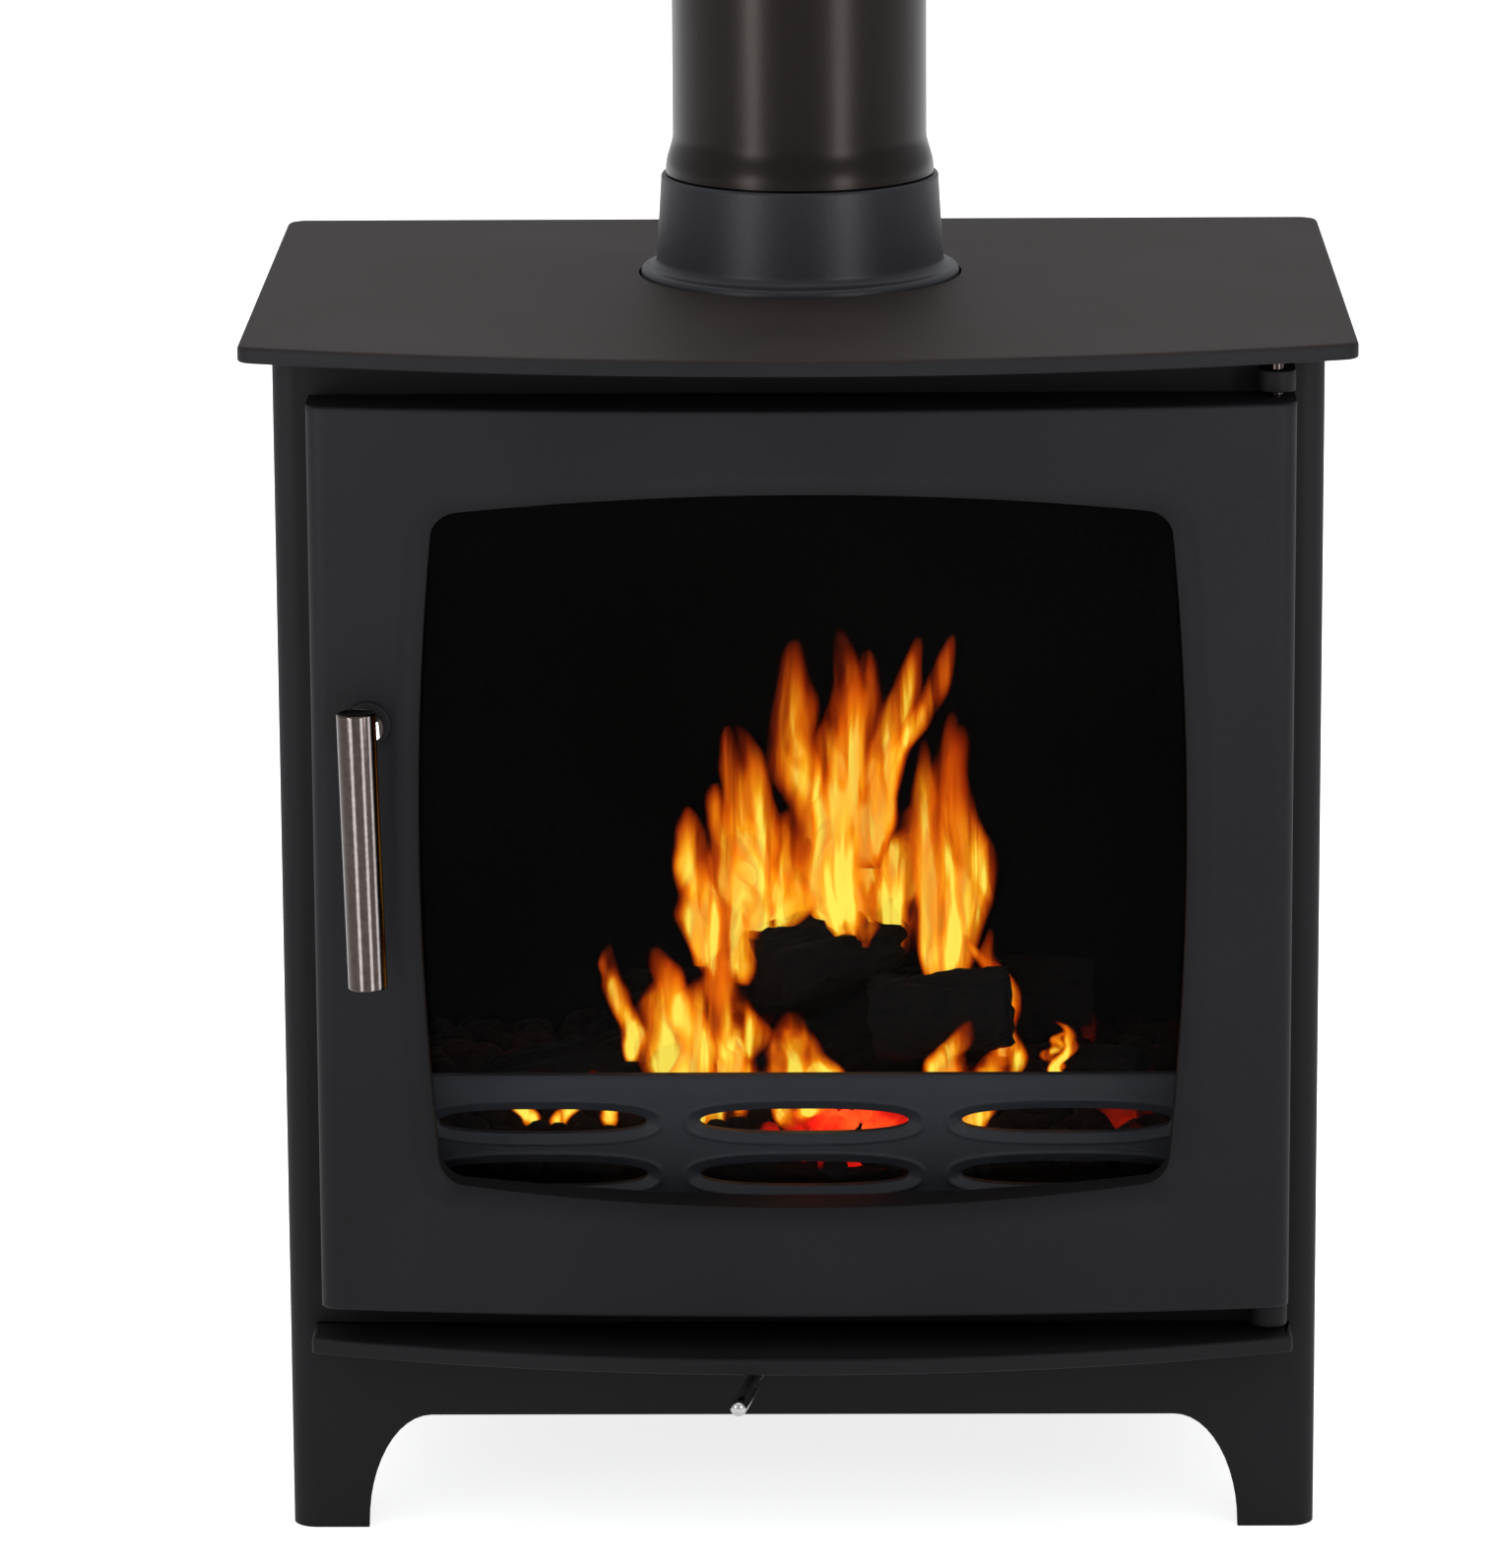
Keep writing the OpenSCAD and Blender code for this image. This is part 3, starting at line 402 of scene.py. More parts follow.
def skin(shell, rings, capped=True, closed=False):
    """Faces between neighbouring rings, with flat ends or joined into a closed ring of rings."""
    pairs = list(zip(rings, rings[1:]))
    if closed:
        pairs.append((rings[-1], rings[0]))
    for near, far in pairs:
        for i in range(len(near)):
            j = (i + 1) % len(near)
            shell.faces.new((near[i], near[j], far[j], far[i]))
    if capped:
        shell.faces.new(rings[0][::-1])
        shell.faces.new(rings[-1])


def add_loops(shell, loops, **how):
    skin(shell, [[shell.verts.new(metres(point)) for point in loop] for loop in loops], **how)


def loop_piece(name, material, loops, **how):
    piece = new_piece(name, material)
    shell = bmesh.new()
    add_loops(shell, loops, **how)
    finish_mesh(piece, shell)
    return piece


def refinish(piece):
    """Merges, turns and shades a mesh that Geometry Nodes made, as the others are."""
    shell = bmesh.new()
    shell.from_mesh(piece.data)
    finish_mesh(piece, shell)


def keep(piece, body, slot, *nodes):
    """Rides a finished piece on its body in place of its CAD nodes. The slot argument is not used.
    """
    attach(piece, body)
    if nodes:
        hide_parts(*nodes)
    print(piece.name, len(piece.data.polygons), "faces on", body)


# %% [markdown]
# ## Outlines
# The door, the top plate and the ash lip share one plan: straight sides, a front that bows out
# as part of a large circle, and rounded front corners. Arcs are sampled finely enough that a
# smooth edge shows no facets.

# %% Arcs and bowed outlines
def arc(x, y, radius, start, stop, steps):
    angles = [math.radians(start + (stop - start) * i / steps) for i in range(steps + 1)]
    return [(x + radius * math.cos(a), y + radius * math.sin(a)) for a in angles]


def bow_radius(half, bow):
    return (half * half + bow * bow) / (2 * bow)


def bow_y(x, half, corner_y, bow):
    radius = bow_radius(half, bow)
    return corner_y - bow + radius - math.sqrt(radius * radius - x * x)


def bowed_outline(half, back, corner_y, bow, corner, back_corner):
    radius = bow_radius(half, bow)
    centre = corner_y - bow + radius
    x = half - corner
    y = centre - math.sqrt((radius - corner) ** 2 - x * x)
    lean = math.degrees(math.atan2(y - centre, x))
    points = arc(half - back_corner, back - back_corner, back_corner, 90, 0, 6)
    points += arc(x, y, corner, 0, lean, 8)[:-1]
    points += arc(0, centre, radius, lean, -180 - lean, 96)
    points += arc(-x, y, corner, -180 - lean, -180, 8)[1:]
    points += arc(back_corner - half, back - back_corner, back_corner, 180, 90, 6)
    return points


def inset(points, distance):
    """Moves each point of a clockwise outline inward by a small distance."""
    moved = []
    for i, (x, y) in enumerate(points):
        before, after = Vector(points[i - 1]), Vector(points[(i + 1) % len(points)])
        along = (after - before).normalized()
        moved.append((x + along.y * distance, y - along.x * distance))
    return moved


def plate_loops(outline, low, high, round_low, round_high, steps=4):
    """Loops of a flat plate whose lower and upper edges are rounded."""
    levels = [(round_low + 1, low)]
    for i in range(steps + 1):
        turn = math.radians(90 * i / steps)
        levels.append((round_low * (1 - math.sin(turn)), low + round_low * (1 - math.cos(turn))))
    for i in range(steps + 1):
        turn = math.radians(90 * i / steps)
        levels.append((round_high * (1 - math.cos(turn)),
                       high - round_high * (1 - math.sin(turn))))
    levels.append((round_high + 1, high))
    return [[(x, y, z) for x, y in inset(outline, d)] for d, z in levels]


print("outlines ready")

# %% [markdown]
# ## Cutting openings
# A hole in a plate is cut with a Boolean: a solid shaped like the hole is taken away. The
# cutter is removed afterwards, so only the finished mesh stays.

# %% Boolean cut
def apply_modifiers(piece):
    seen = piece.evaluated_get(bpy.context.evaluated_depsgraph_get())
    made = bpy.data.meshes.new_from_object(seen)
    piece.modifiers.clear()
    piece.data = made


def cut_away(piece, *cutters):
    for cutter in cutters:
        boolean = piece.modifiers.new("opening", "BOOLEAN")
        boolean.object = cutter
        boolean.operation = "DIFFERENCE"
        boolean.solver = "EXACT"
    bpy.context.view_layer.update()
    apply_modifiers(piece)
    for cutter in cutters:
        bpy.data.objects.remove(cutter)
    piece.data.shade_smooth()
    piece.data.set_sharp_from_angle(angle=SHARP_ANGLE)


def turned(name, material, profile, centre, axis, steps=96, **how):
    """A lathe: turns a profile of (radius, height) points about an axis through the centre."""
    side = axis.orthogonal().normalized()
    across = axis.cross(side)
    loops = []
    for radius, height in profile:
        ring = []
        for i in range(steps):
            a = math.tau * i / steps
            ring.append(centre + axis * height + radius * (side * math.cos(a)
                                                           + across * math.sin(a)))
        loops.append(ring)
    return loop_piece(name, material, loops, **how)


UP = Vector((0, 0, 1))
TOWARD_VIEWER = Vector((0, -1, 0))
print("cutting and turning ready")

# %% [markdown]
# ## The body shell
# The sides and the front are 5 mm sheet, bent round at the front corners and welded. A maker
# grinds the welds flush, so the three CAD panels show as one skin. Its lower edge is cut into
# arches that leave four legs. One path runs round the plan, and each point of it has its own
# lower edge: on the floor at a leg, up a quarter ellipse, and level under the skirt.

# %% Body shell
SHEET = corners("back_panel")[1].y - corners("back_panel")[0].y
HALF_BODY = -SIDE_LOW.x
BODY_DEPTH = SIDE_HIGH.y
BODY_TOP = SIDE_HIGH.z
BODY_CORNER = 12
FOOT_WIDTH, LEG_RUN, SKIRT_Z = 38, 32, 58.5


def arch_samples(half):
    """Distances from the middle of a face, with its lower edge at each."""
    run_start = half - FOOT_WIDTH - LEG_RUN
    samples = [(half, 0.0)]
    for i in range(13):
        a = math.radians(90 * i / 12)
        samples.append((run_start + LEG_RUN * math.cos(a), SKIRT_Z * math.sin(a)))
    samples += [(run_start * (1 - i / 4), SKIRT_Z) for i in range(1, 5)]
    return samples + [(-x, z) for x, z in reversed(samples[:-1])]


def shell_path(offset):
    """Plan points round the U of the body with their lower edges, moved inward by an offset."""
    middle = BODY_DEPTH / 2
    path = [(-HALF_BODY + offset, middle + d, z) for d, z in arch_samples(middle)
            if middle + d > BODY_CORNER]
    corner = arc(BODY_CORNER - HALF_BODY, BODY_CORNER, BODY_CORNER - offset, 180, 270, 10)
    path += [(x, y, 0.0) for x, y in corner]
    path += [(-d, offset, z) for d, z in arch_samples(HALF_BODY)
             if abs(d) < HALF_BODY - BODY_CORNER]
    path += [(-x, y, 0.0) for x, y in reversed(corner)]
    path += [(HALF_BODY - offset, middle - d, z) for d, z in arch_samples(middle)
             if middle - d > BODY_CORNER]
    return path


def body_shell():
    sections = [((x0, y0, z), (x0, y0, BODY_TOP), (x1, y1, BODY_TOP), (x1, y1, z))
                for (x0, y0, z), (x1, y1, _) in zip(shell_path(0), shell_path(SHEET))]
    return loop_piece("body_shell", body_paint, sections)


def rounded_box(low, high, radius, steps=6):
    """An upright opening: a rounded rectangle in x and z, run through y."""
    x, z = (low.x + high.x) / 2, (low.z + high.z) / 2
    half, rise = (high.x - low.x) / 2 - radius, (high.z - low.z) / 2 - radius
    outline = []
    for k, (sx, sz) in enumerate(((1, 1), (-1, 1), (-1, -1), (1, -1))):
        outline += arc(x + sx * half, z + sz * rise, radius, 90 * k, 90 * k + 90, steps)
    return loop_piece("cutter", body_paint, [[(px, y, pz) for px, pz in outline]
                                             for y in (low.y, high.y)])


JAMB_LAP = 19
body = body_shell()
door_hole = rounded_box(Vector((DOOR_LOW.x + JAMB_LAP, -4, DOOR_LOW.z + JAMB_LAP)),
                        Vector((DOOR_HIGH.x - JAMB_LAP, SHEET + 4, DOOR_HIGH.z - JAMB_LAP)), 8)
LEVER_LOW, LEVER_HIGH = corners("air_lever")
base_low = corners("base_plate")[0]
lever_reach = 22
lever_slot = rounded_box(Vector((-lever_reach, -4, LEVER_LOW.z - 2)),
                         Vector((lever_reach, SHEET + 4, base_low.z - 1)), 1.5)
cut_away(body, door_hole, lever_slot)
keep(body, "stove_body", "body_paint", "side_panel_left", "side_panel_right", "front_panel")

# %% [markdown]
# ## Top plate and ash lip
# Both are thick plate with a bowed front. The top plate is 8 mm with a round hole for the
# flue collar, and its edge is eased by 2 mm so that it draws a soft light line. The lip below
# the door catches ash and hides the air lever's slot.

# %% Top plate and ash lip
PLATE_LOW, PLATE_HIGH = corners("top_plate")
LIP_LOW, LIP_HIGH = corners("ash_lip")
PLATE_BOW, PLATE_CORNER = 42, 10
LIP_BOW = 37
plate_outline = bowed_outline(PLATE_HIGH.x, PLATE_HIGH.y, PLATE_LOW.y + PLATE_BOW, PLATE_BOW,
                              PLATE_CORNER, PLATE_CORNER)
top_plate = loop_piece("top_plate_rounded", plate_paint,
                       plate_loops(plate_outline, PLATE_LOW.z, PLATE_HIGH.z, 1.0, 2.0))
COLLAR_LOW, COLLAR_HIGH = corners("flue_collar")
FLUE = (COLLAR_LOW + COLLAR_HIGH) / 2
FLUE.z = 0
COLLAR_GAP = 1.2
hole_radius = (COLLAR_HIGH.x - COLLAR_LOW.x) / 2 + COLLAR_GAP
hole = turned("cutter", plate_paint, [(hole_radius, PLATE_LOW.z - 4),
                                      (hole_radius, PLATE_HIGH.z + 4)], FLUE, UP)
cut_away(top_plate, hole)
keep(top_plate, "stove_body", "plate_paint", "top_plate")
lip_outline = bowed_outline(LIP_HIGH.x, LIP_HIGH.y, LIP_LOW.y + LIP_BOW, LIP_BOW, 3, 0.5)
ash_lip = loop_piece("ash_lip_rounded", body_paint,
                     plate_loops(lip_outline, LIP_LOW.z, LIP_HIGH.z, 1.0, 2.2))
keep(ash_lip, "stove_body", "body_paint", "ash_lip")

# %% [markdown]
# ## The flue collar and the pipe
# Both are round about the flue, so both follow one rule: a radius for every height. The collar
# is a short profile turned like a bowl on a lathe. The pipe is the main piece that Geometry
# Nodes make here: a grid is rolled into a tube, and a node formula swells its foot by a cosine,
# which is the shape a crimped socket has. The tree takes its sizes as named inputs.

# %% Flue collar
RIM_LIP = 1.5
pipe_box = corners("flue_pipe")
PIPE_WALL = 1.5
PIPE_FOOT = pipe_box[0].z
rope_box = corners("collar_rope")
PIPE_RADIUS = rope_box[1].x - 2.4
bore = rope_box[1].x + 0.1
rim_radius = bore + 3.5
flange_radius = hole_radius - COLLAR_GAP
flange_top = PLATE_HIGH.z + 3.5
rim_top = COLLAR_HIGH.z
bead = 3.0


def collar_profile():
    fillet = flange_radius - 2.4 - rim_radius - bead
    profile = [(PIPE_RADIUS - 2.5, COLLAR_LOW.z), (flange_radius - 1, COLLAR_LOW.z),
               (flange_radius, COLLAR_LOW.z + 0.01)]
    profile += arc(flange_radius - bead, flange_top - bead, bead, 0, 90, 8)
    profile += arc(flange_radius - bead, flange_top + fillet, fillet, 270, 180, 8)
    profile += [(rim_radius + 2.2, flange_top + fillet + 2), (rim_radius, rim_top - RIM_LIP - 0.8)]
    profile += arc(rim_radius - RIM_LIP, rim_top - RIM_LIP, RIM_LIP, 0, 90, 6)
    profile += arc(bore + 0.6, rim_top - 0.6, 0.6, 90, 180, 3)
    profile += [(bore, PIPE_FOOT - 0.5), (PIPE_RADIUS - 2.5, PIPE_FOOT - 0.5)]
    return profile


collar = turned("flue_collar_cast", collar_paint, collar_profile(), FLUE, UP, 128,
                capped=False, closed=True)
keep(collar, "stove_body", "cast_paint", "flue_collar")

# %% [markdown]
# ### Geometry Nodes in three steps
# One function starts a tree with named inputs, one closes it, and one runs it: the tree goes on
# a modifier, its inputs are set by their identifiers, and the evaluated result is copied into
# a plain mesh, because the other tools only read plain meshes.

# %% Geometry Nodes helpers
def new_tree(name, **inputs):
    tree = bpy.data.node_groups.new(name, "GeometryNodeTree")
    tree.interface.new_socket("Geometry", in_out="INPUT", socket_type="NodeSocketGeometry")
    for label, value in inputs.items():
        kind = "NodeSocketInt" if isinstance(value, int) else "NodeSocketFloat"
        if isinstance(value, bpy.types.Material):
            kind = "NodeSocketMaterial"
        tree.interface.new_socket(label, in_out="INPUT", socket_type=kind)
    tree.interface.new_socket("Geometry", in_out="OUTPUT", socket_type="NodeSocketGeometry")
    given = tree.nodes.new("NodeGroupInput")
    return tree, {socket.name: socket for socket in given.outputs}


def close_tree(tree, geometry, material):
    realized = add_node(tree, "GeometryNodeRealizeInstances", {"Geometry": geometry})
    painted = add_node(tree, "GeometryNodeSetMaterial", {"Geometry": realized.outputs[0],
                                                         "Material": material})
    add_node(tree, "NodeGroupOutput", {"Geometry": painted.outputs[0]})


def run_tree(name, tree, material, inputs, base=None):
    """Runs a tree on a new object and keeps the result as a plain mesh."""
    piece = new_piece(name, material)
    if base is not None:
        piece.data = base
    modifier = piece.modifiers.new("nodes", "NODES")
    modifier.node_group = tree
    for socket in tree.interface.items_tree:
        if socket.in_out == "INPUT" and socket.name in inputs:
            modifier[socket.identifier] = inputs[socket.name]
    apply_modifiers(piece)
    print(name, "came from", tree.name, "with", len(piece.data.polygons), "faces")
    return piece


# %% Flue pipe, rolled and swelled by nodes
def pipe_tree():
    tree, given = new_tree("rolled_pipe", radius=1.0, foot=1.0, length=1.0, swell=1.0,
                           swell_at=1.0, swell_length=1.0, centre_y=1.0, around=8, along=8,
                           finish=flue_enamel)
    grid = add_node(tree, "GeometryNodeMeshGrid", {
        "Size X": 1.0, "Size Y": 1.0, "Vertices X": given["around"],
        "Vertices Y": given["along"]}).outputs["Mesh"]
    place = add_node(tree, "ShaderNodeSeparateXYZ",
                     {0: add_node(tree, "GeometryNodeInputPosition").outputs[0]})
    angle = math_node(tree, "MULTIPLY", math_node(tree, "ADD", place.outputs["X"], 0.5), math.tau)
    rise = math_node(tree, "MULTIPLY", math_node(tree, "ADD", place.outputs["Y"], 0.5),
                     given["length"])
    height = math_node(tree, "ADD", rise, given["foot"])
    past = math_node(tree, "SUBTRACT", height, given["swell_at"])
    run = math_node(tree, "DIVIDE", past, given["swell_length"])
    share = add_node(tree, "ShaderNodeClamp", {"Value": run}).outputs[0]
    wave = math_node(tree, "COSINE", math_node(tree, "MULTIPLY", share, math.pi))
    lift = math_node(tree, "MULTIPLY", math_node(tree, "ADD", wave, 1.0), 0.5)
    started = math_node(tree, "GREATER_THAN", past, -SWELL_EDGE * MM)
    grown = math_node(tree, "MULTIPLY", math_node(tree, "MULTIPLY", lift, given["swell"]), started)
    radius = math_node(tree, "ADD", given["radius"], grown)
    x = math_node(tree, "MULTIPLY", radius, math_node(tree, "COSINE", angle))
    y = math_node(tree, "MULTIPLY", radius, math_node(tree, "SINE", angle))
    spot = add_node(tree, "ShaderNodeCombineXYZ", {
        "X": x, "Y": math_node(tree, "ADD", y, given["centre_y"]), "Z": height})
    rolled = add_node(tree, "GeometryNodeSetPosition", {"Geometry": grid,
                                                        "Position": spot.outputs[0]})
    joined = add_node(tree, "GeometryNodeMergeByDistance", {"Geometry": rolled.outputs[0],
                                                            "Distance": 0.00001})
    close_tree(tree, joined.outputs[0], given["finish"])
    return tree


PIPE_LENGTH = pipe_box[1].z - PIPE_FOOT
SWELL_AT = rim_top + 3
SWELL, SWELL_LENGTH, SWELL_EDGE = 3.6, 18, 2.4
pipe = run_tree("flue_pipe_rolled", pipe_tree(), flue_enamel, {
    "radius": PIPE_RADIUS * MM, "foot": PIPE_FOOT * MM, "length": PIPE_LENGTH * MM,
    "swell": SWELL * MM, "swell_at": SWELL_AT * MM, "swell_length": SWELL_LENGTH * MM,
    "centre_y": FRONT + FLUE.y * MM, "around": 129, "along": 257, "finish": flue_enamel})
wall = pipe.modifiers.new("wall", "SOLIDIFY")
wall.thickness = PIPE_WALL * MM
wall.offset = -1
refinish(pipe)
keep(pipe, "stove_body", "pipe_enamel", "flue_pipe")

# %% [markdown]
# ## The door casting
# The door is one casting: a bowed face with a window, soft outer edges, a flange with a rope
# groove behind, and a raised seat that holds the glass. It is built from loops that all have
# the same number of points. The first loop is the window's edge at the front. The loops spread
# over the face, turn round the outer edge, and come back over the rear to the window. A bow
# formula gives every face point its depth, so the curve stays true under the window's bevel.

# %% Door outlines
DOOR_MIDDLE = Vector(((DOOR_LOW.x + DOOR_HIGH.x) / 2, 0, (DOOR_LOW.z + DOOR_HIGH.z) / 2))
DOOR_HALF = (DOOR_HIGH.x - DOOR_LOW.x) / 2
DOOR_RISE = (DOOR_HIGH.z - DOOR_LOW.z) / 2
DOOR_BACK = DOOR_HIGH.y
DOOR_BOW = 15
DOOR_CORNER_Y = DOOR_LOW.y + DOOR_BOW
GLASS_LOW, GLASS_HIGH = corners("door_glass")
GLASS_LAP, SIDE_BULGE, END_BULGE, WINDOW_CORNER = 7, 9, 11, 11
WINDOW_Z = (GLASS_LOW.z + GLASS_HIGH.z) / 2
WINDOW_HALF = (GLASS_HIGH.x - GLASS_LOW.x) / 2 - GLASS_LAP - SIDE_BULGE
WINDOW_RISE = (GLASS_HIGH.z - GLASS_LOW.z) / 2 - GLASS_LAP - END_BULGE
ARC_STEPS, RUN_STEPS, ARC_SHARE = 5, 44, 0.03


def side_points():
    """Each sample round a four sided outline: its side, and how far along that side it is."""
    samples = []
    for side in range(4):
        steps = [ARC_SHARE * i / ARC_STEPS for i in range(ARC_STEPS)]
        steps += [ARC_SHARE + (1 - 2 * ARC_SHARE) * i / RUN_STEPS for i in range(RUN_STEPS)]
        steps += [1 - ARC_SHARE + ARC_SHARE * i / ARC_STEPS for i in range(ARC_STEPS)]
        samples += [(side, step) for step in steps]
    return samples


def rectangle_loop(half, rise, centre_z=None):
    """A sharp rectangle in the door's plane, sampled to match the window."""
    middle_z = DOOR_MIDDLE.z if centre_z is None else centre_z
    ends = ((half, -rise), (half, rise), (-half, rise), (-half, -rise))
    loop = []
    for side, step in side_points():
        (x0, z0), (x1, z1) = ends[side], ends[(side + 1) % 4]
        loop.append((DOOR_MIDDLE.x + x0 + (x1 - x0) * step, middle_z + z0 + (z1 - z0) * step))
    return loop


def window_loop(grow):
    """The window's outline, whose four sides curve out like a barrel's, made larger by grow."""
    half, rise, corner = WINDOW_HALF + grow, WINDOW_RISE + grow, WINDOW_CORNER + grow
    centres = ((1, -1), (1, 1), (-1, 1), (-1, -1))
    loop = []
    for side, step in side_points():
        outward = 90 * side
        start, stop = centres[side], centres[(side + 1) % 4]
        if step < ARC_SHARE:
            at, turn = start, outward - 45 * (1 - step / ARC_SHARE)
        elif step > 1 - ARC_SHARE:
            at, turn = stop, outward + 45 * (step - 1 + ARC_SHARE) / ARC_SHARE
        else:
            share = (step - ARC_SHARE) / (1 - 2 * ARC_SHARE)
            at = tuple(a + (b - a) * share for a, b in zip(start, stop))
            turn = outward
        a = math.radians(turn)
        x = at[0] * (half - corner) + corner * math.cos(a)
        z = at[1] * (rise - corner) + corner * math.sin(a)
        loop.append((DOOR_MIDDLE.x + x * (1 + SIDE_BULGE / half * (1 - (z / rise) ** 2)),
                     WINDOW_Z + z * (1 + END_BULGE / rise * (1 - (x / half) ** 2))))
    return loop


def mix_loops(first, second, share):
    return [(x0 + (x1 - x0) * share, z0 + (z1 - z0) * share)
            for (x0, z0), (x1, z1) in zip(first, second)]


print(len(side_points()), "points round each door loop")

# %% Door casting
EDGE_SIDE, EDGE_END = 8.0, 2.0
BEVEL_WIDTH, BEVEL_DEPTH = 11.0, 6.5
DOOR_WALL, BORDER, GROOVE_IN, GROOVE_WIDTH, GROOVE_DEPTH = 9, 22, 9, 8.5, 5.5
SEAT_FACE = GLASS_LOW.y - 2
SEAT_MARGIN = 12


def face_y(x):
    return bow_y(min(abs(x - DOOR_MIDDLE.x), DOOR_HALF), DOOR_HALF, DOOR_CORNER_Y, DOOR_BOW)


def quarter_drop(radius, distance):
    """How far a rounded edge has fallen back at a distance from the outline."""
    if distance >= radius:
        return 0.0
    return radius - math.sqrt(max(radius ** 2 - (radius - distance) ** 2, 0))


def on_face(loop, bevel=0.0):
    points = []
    for x, z in loop:
        side = DOOR_HALF - abs(x - DOOR_MIDDLE.x)
        end = DOOR_RISE - abs(z - DOOR_MIDDLE.z)
        y = face_y(x) + quarter_drop(EDGE_SIDE, side) + quarter_drop(EDGE_END, end)
        points.append((x, y + bevel, z))
    return points


def at_depth(loop, y):
    return [(x, y, z) for x, z in loop]


def door_loops():
    loops = []
    for grow in (0, 0.8, 1.6, 2.6, 3.8, 5.0, 6.4, 7.8, 9.4, 11, 12.5):
        share = max(1 - grow / BEVEL_WIDTH, 0)
        loops.append(on_face(window_loop(grow), BEVEL_DEPTH * share ** 1.7))
    margin = 10
    near, far = window_loop(12.5), rectangle_loop(DOOR_HALF - margin, DOOR_RISE - margin)
    loops += [on_face(mix_loops(near, far, i / 6)) for i in range(1, 6)]
    for back in (10, 8, 6.4, 4.8, 3.4, 2.2, 1.4, 0.8, 0.35, 0.1, 0):
        loops.append(on_face(rectangle_loop(DOOR_HALF - back, DOOR_RISE - back)))

    def rear(edge, y):
        return at_depth(rectangle_loop(DOOR_HALF - edge, DOOR_RISE - edge), y)
    loops += [rear(0, DOOR_BACK - 0.8), rear(0.25, DOOR_BACK - 0.2), rear(0.8, DOOR_BACK)]
    groove = GROOVE_IN + GROOVE_WIDTH
    loops += [rear(GROOVE_IN, DOOR_BACK), rear(GROOVE_IN, DOOR_BACK - GROOVE_DEPTH),
              rear(groove, DOOR_BACK - GROOVE_DEPTH), rear(groove, DOOR_BACK),
              rear(BORDER, DOOR_BACK)]
    pocket = rectangle_loop(DOOR_HALF - BORDER, DOOR_RISE - BORDER)
    loops.append([(x, face_y(x) + DOOR_WALL, z) for x, z in pocket])
    seat_half = WINDOW_HALF + SIDE_BULGE + GLASS_LAP + SEAT_MARGIN
    seat_rise = WINDOW_RISE + END_BULGE + GLASS_LAP + SEAT_MARGIN
    seat = rectangle_loop(seat_half, seat_rise, WINDOW_Z)
    loops.append([(x, face_y(x) + DOOR_WALL, z) for x, z in seat])
    loops += [at_depth(seat, SEAT_FACE), at_depth(window_loop(0.6), SEAT_FACE),
              at_depth(window_loop(0), SEAT_FACE - 0.8)]
    return loops


door = loop_piece("door_casting", cast_paint, door_loops(), capped=False, closed=True)
keep(door, "door", "cast_paint", "door_frame")

# %% [markdown]
# ## The log guard
# A cast fence keeps the logs off the glass. It has six long slots, each in a dished hollow with
# a low ridge round it, so that the casting can be thin and still stiff. Each slot gets its own
# cell of the fence, and the cells share their borders, so they weld into one sheet.

# %% Log guard
GUARD_LOW, GUARD_HIGH = corners("log_guard")
SLOT_HALF, SLOT_RISE = 51.5, 6.3
DISH_HALF, DISH_RISE = 60.5, 12.4
SLOT_PITCH, ROW_PITCH, ROW_DROP = 129, 27, 23.5
DISH_DEPTH, RIDGE, EASED, EDGE_DROP = 2.2, 0.5, 3.0, 2.2
GUARD_MIDDLE = (GUARD_LOW.x + GUARD_HIGH.x) / 2
UPPER_ROW = GUARD_HIGH.z - ROW_DROP
STEPS_ROUND = 96


def lens_point(turn, half, rise, power=0.8):
    c, s = math.cos(turn), math.sin(turn)
    return (math.copysign(half * abs(c) ** power, c), math.copysign(rise * abs(s) ** power, s))


def cell_point(turn, left, right, low, high):
    u = max(-1.0, min(1.0, math.sqrt(2) * math.cos(turn)))
    v = max(-1.0, min(1.0, math.sqrt(2) * math.sin(turn)))
    return (u * right if u > 0 else -u * left, v * high if v > 0 else -v * low)


def edge_drop(x, z):
    """How far the guard's front face has rounded away at this point."""
    gap = min(abs(x - GUARD_LOW.x), abs(x - GUARD_HIGH.x), abs(z - GUARD_LOW.z),
              abs(z - GUARD_HIGH.z))
    return EDGE_DROP * max(0.0, 1 - gap / EASED)


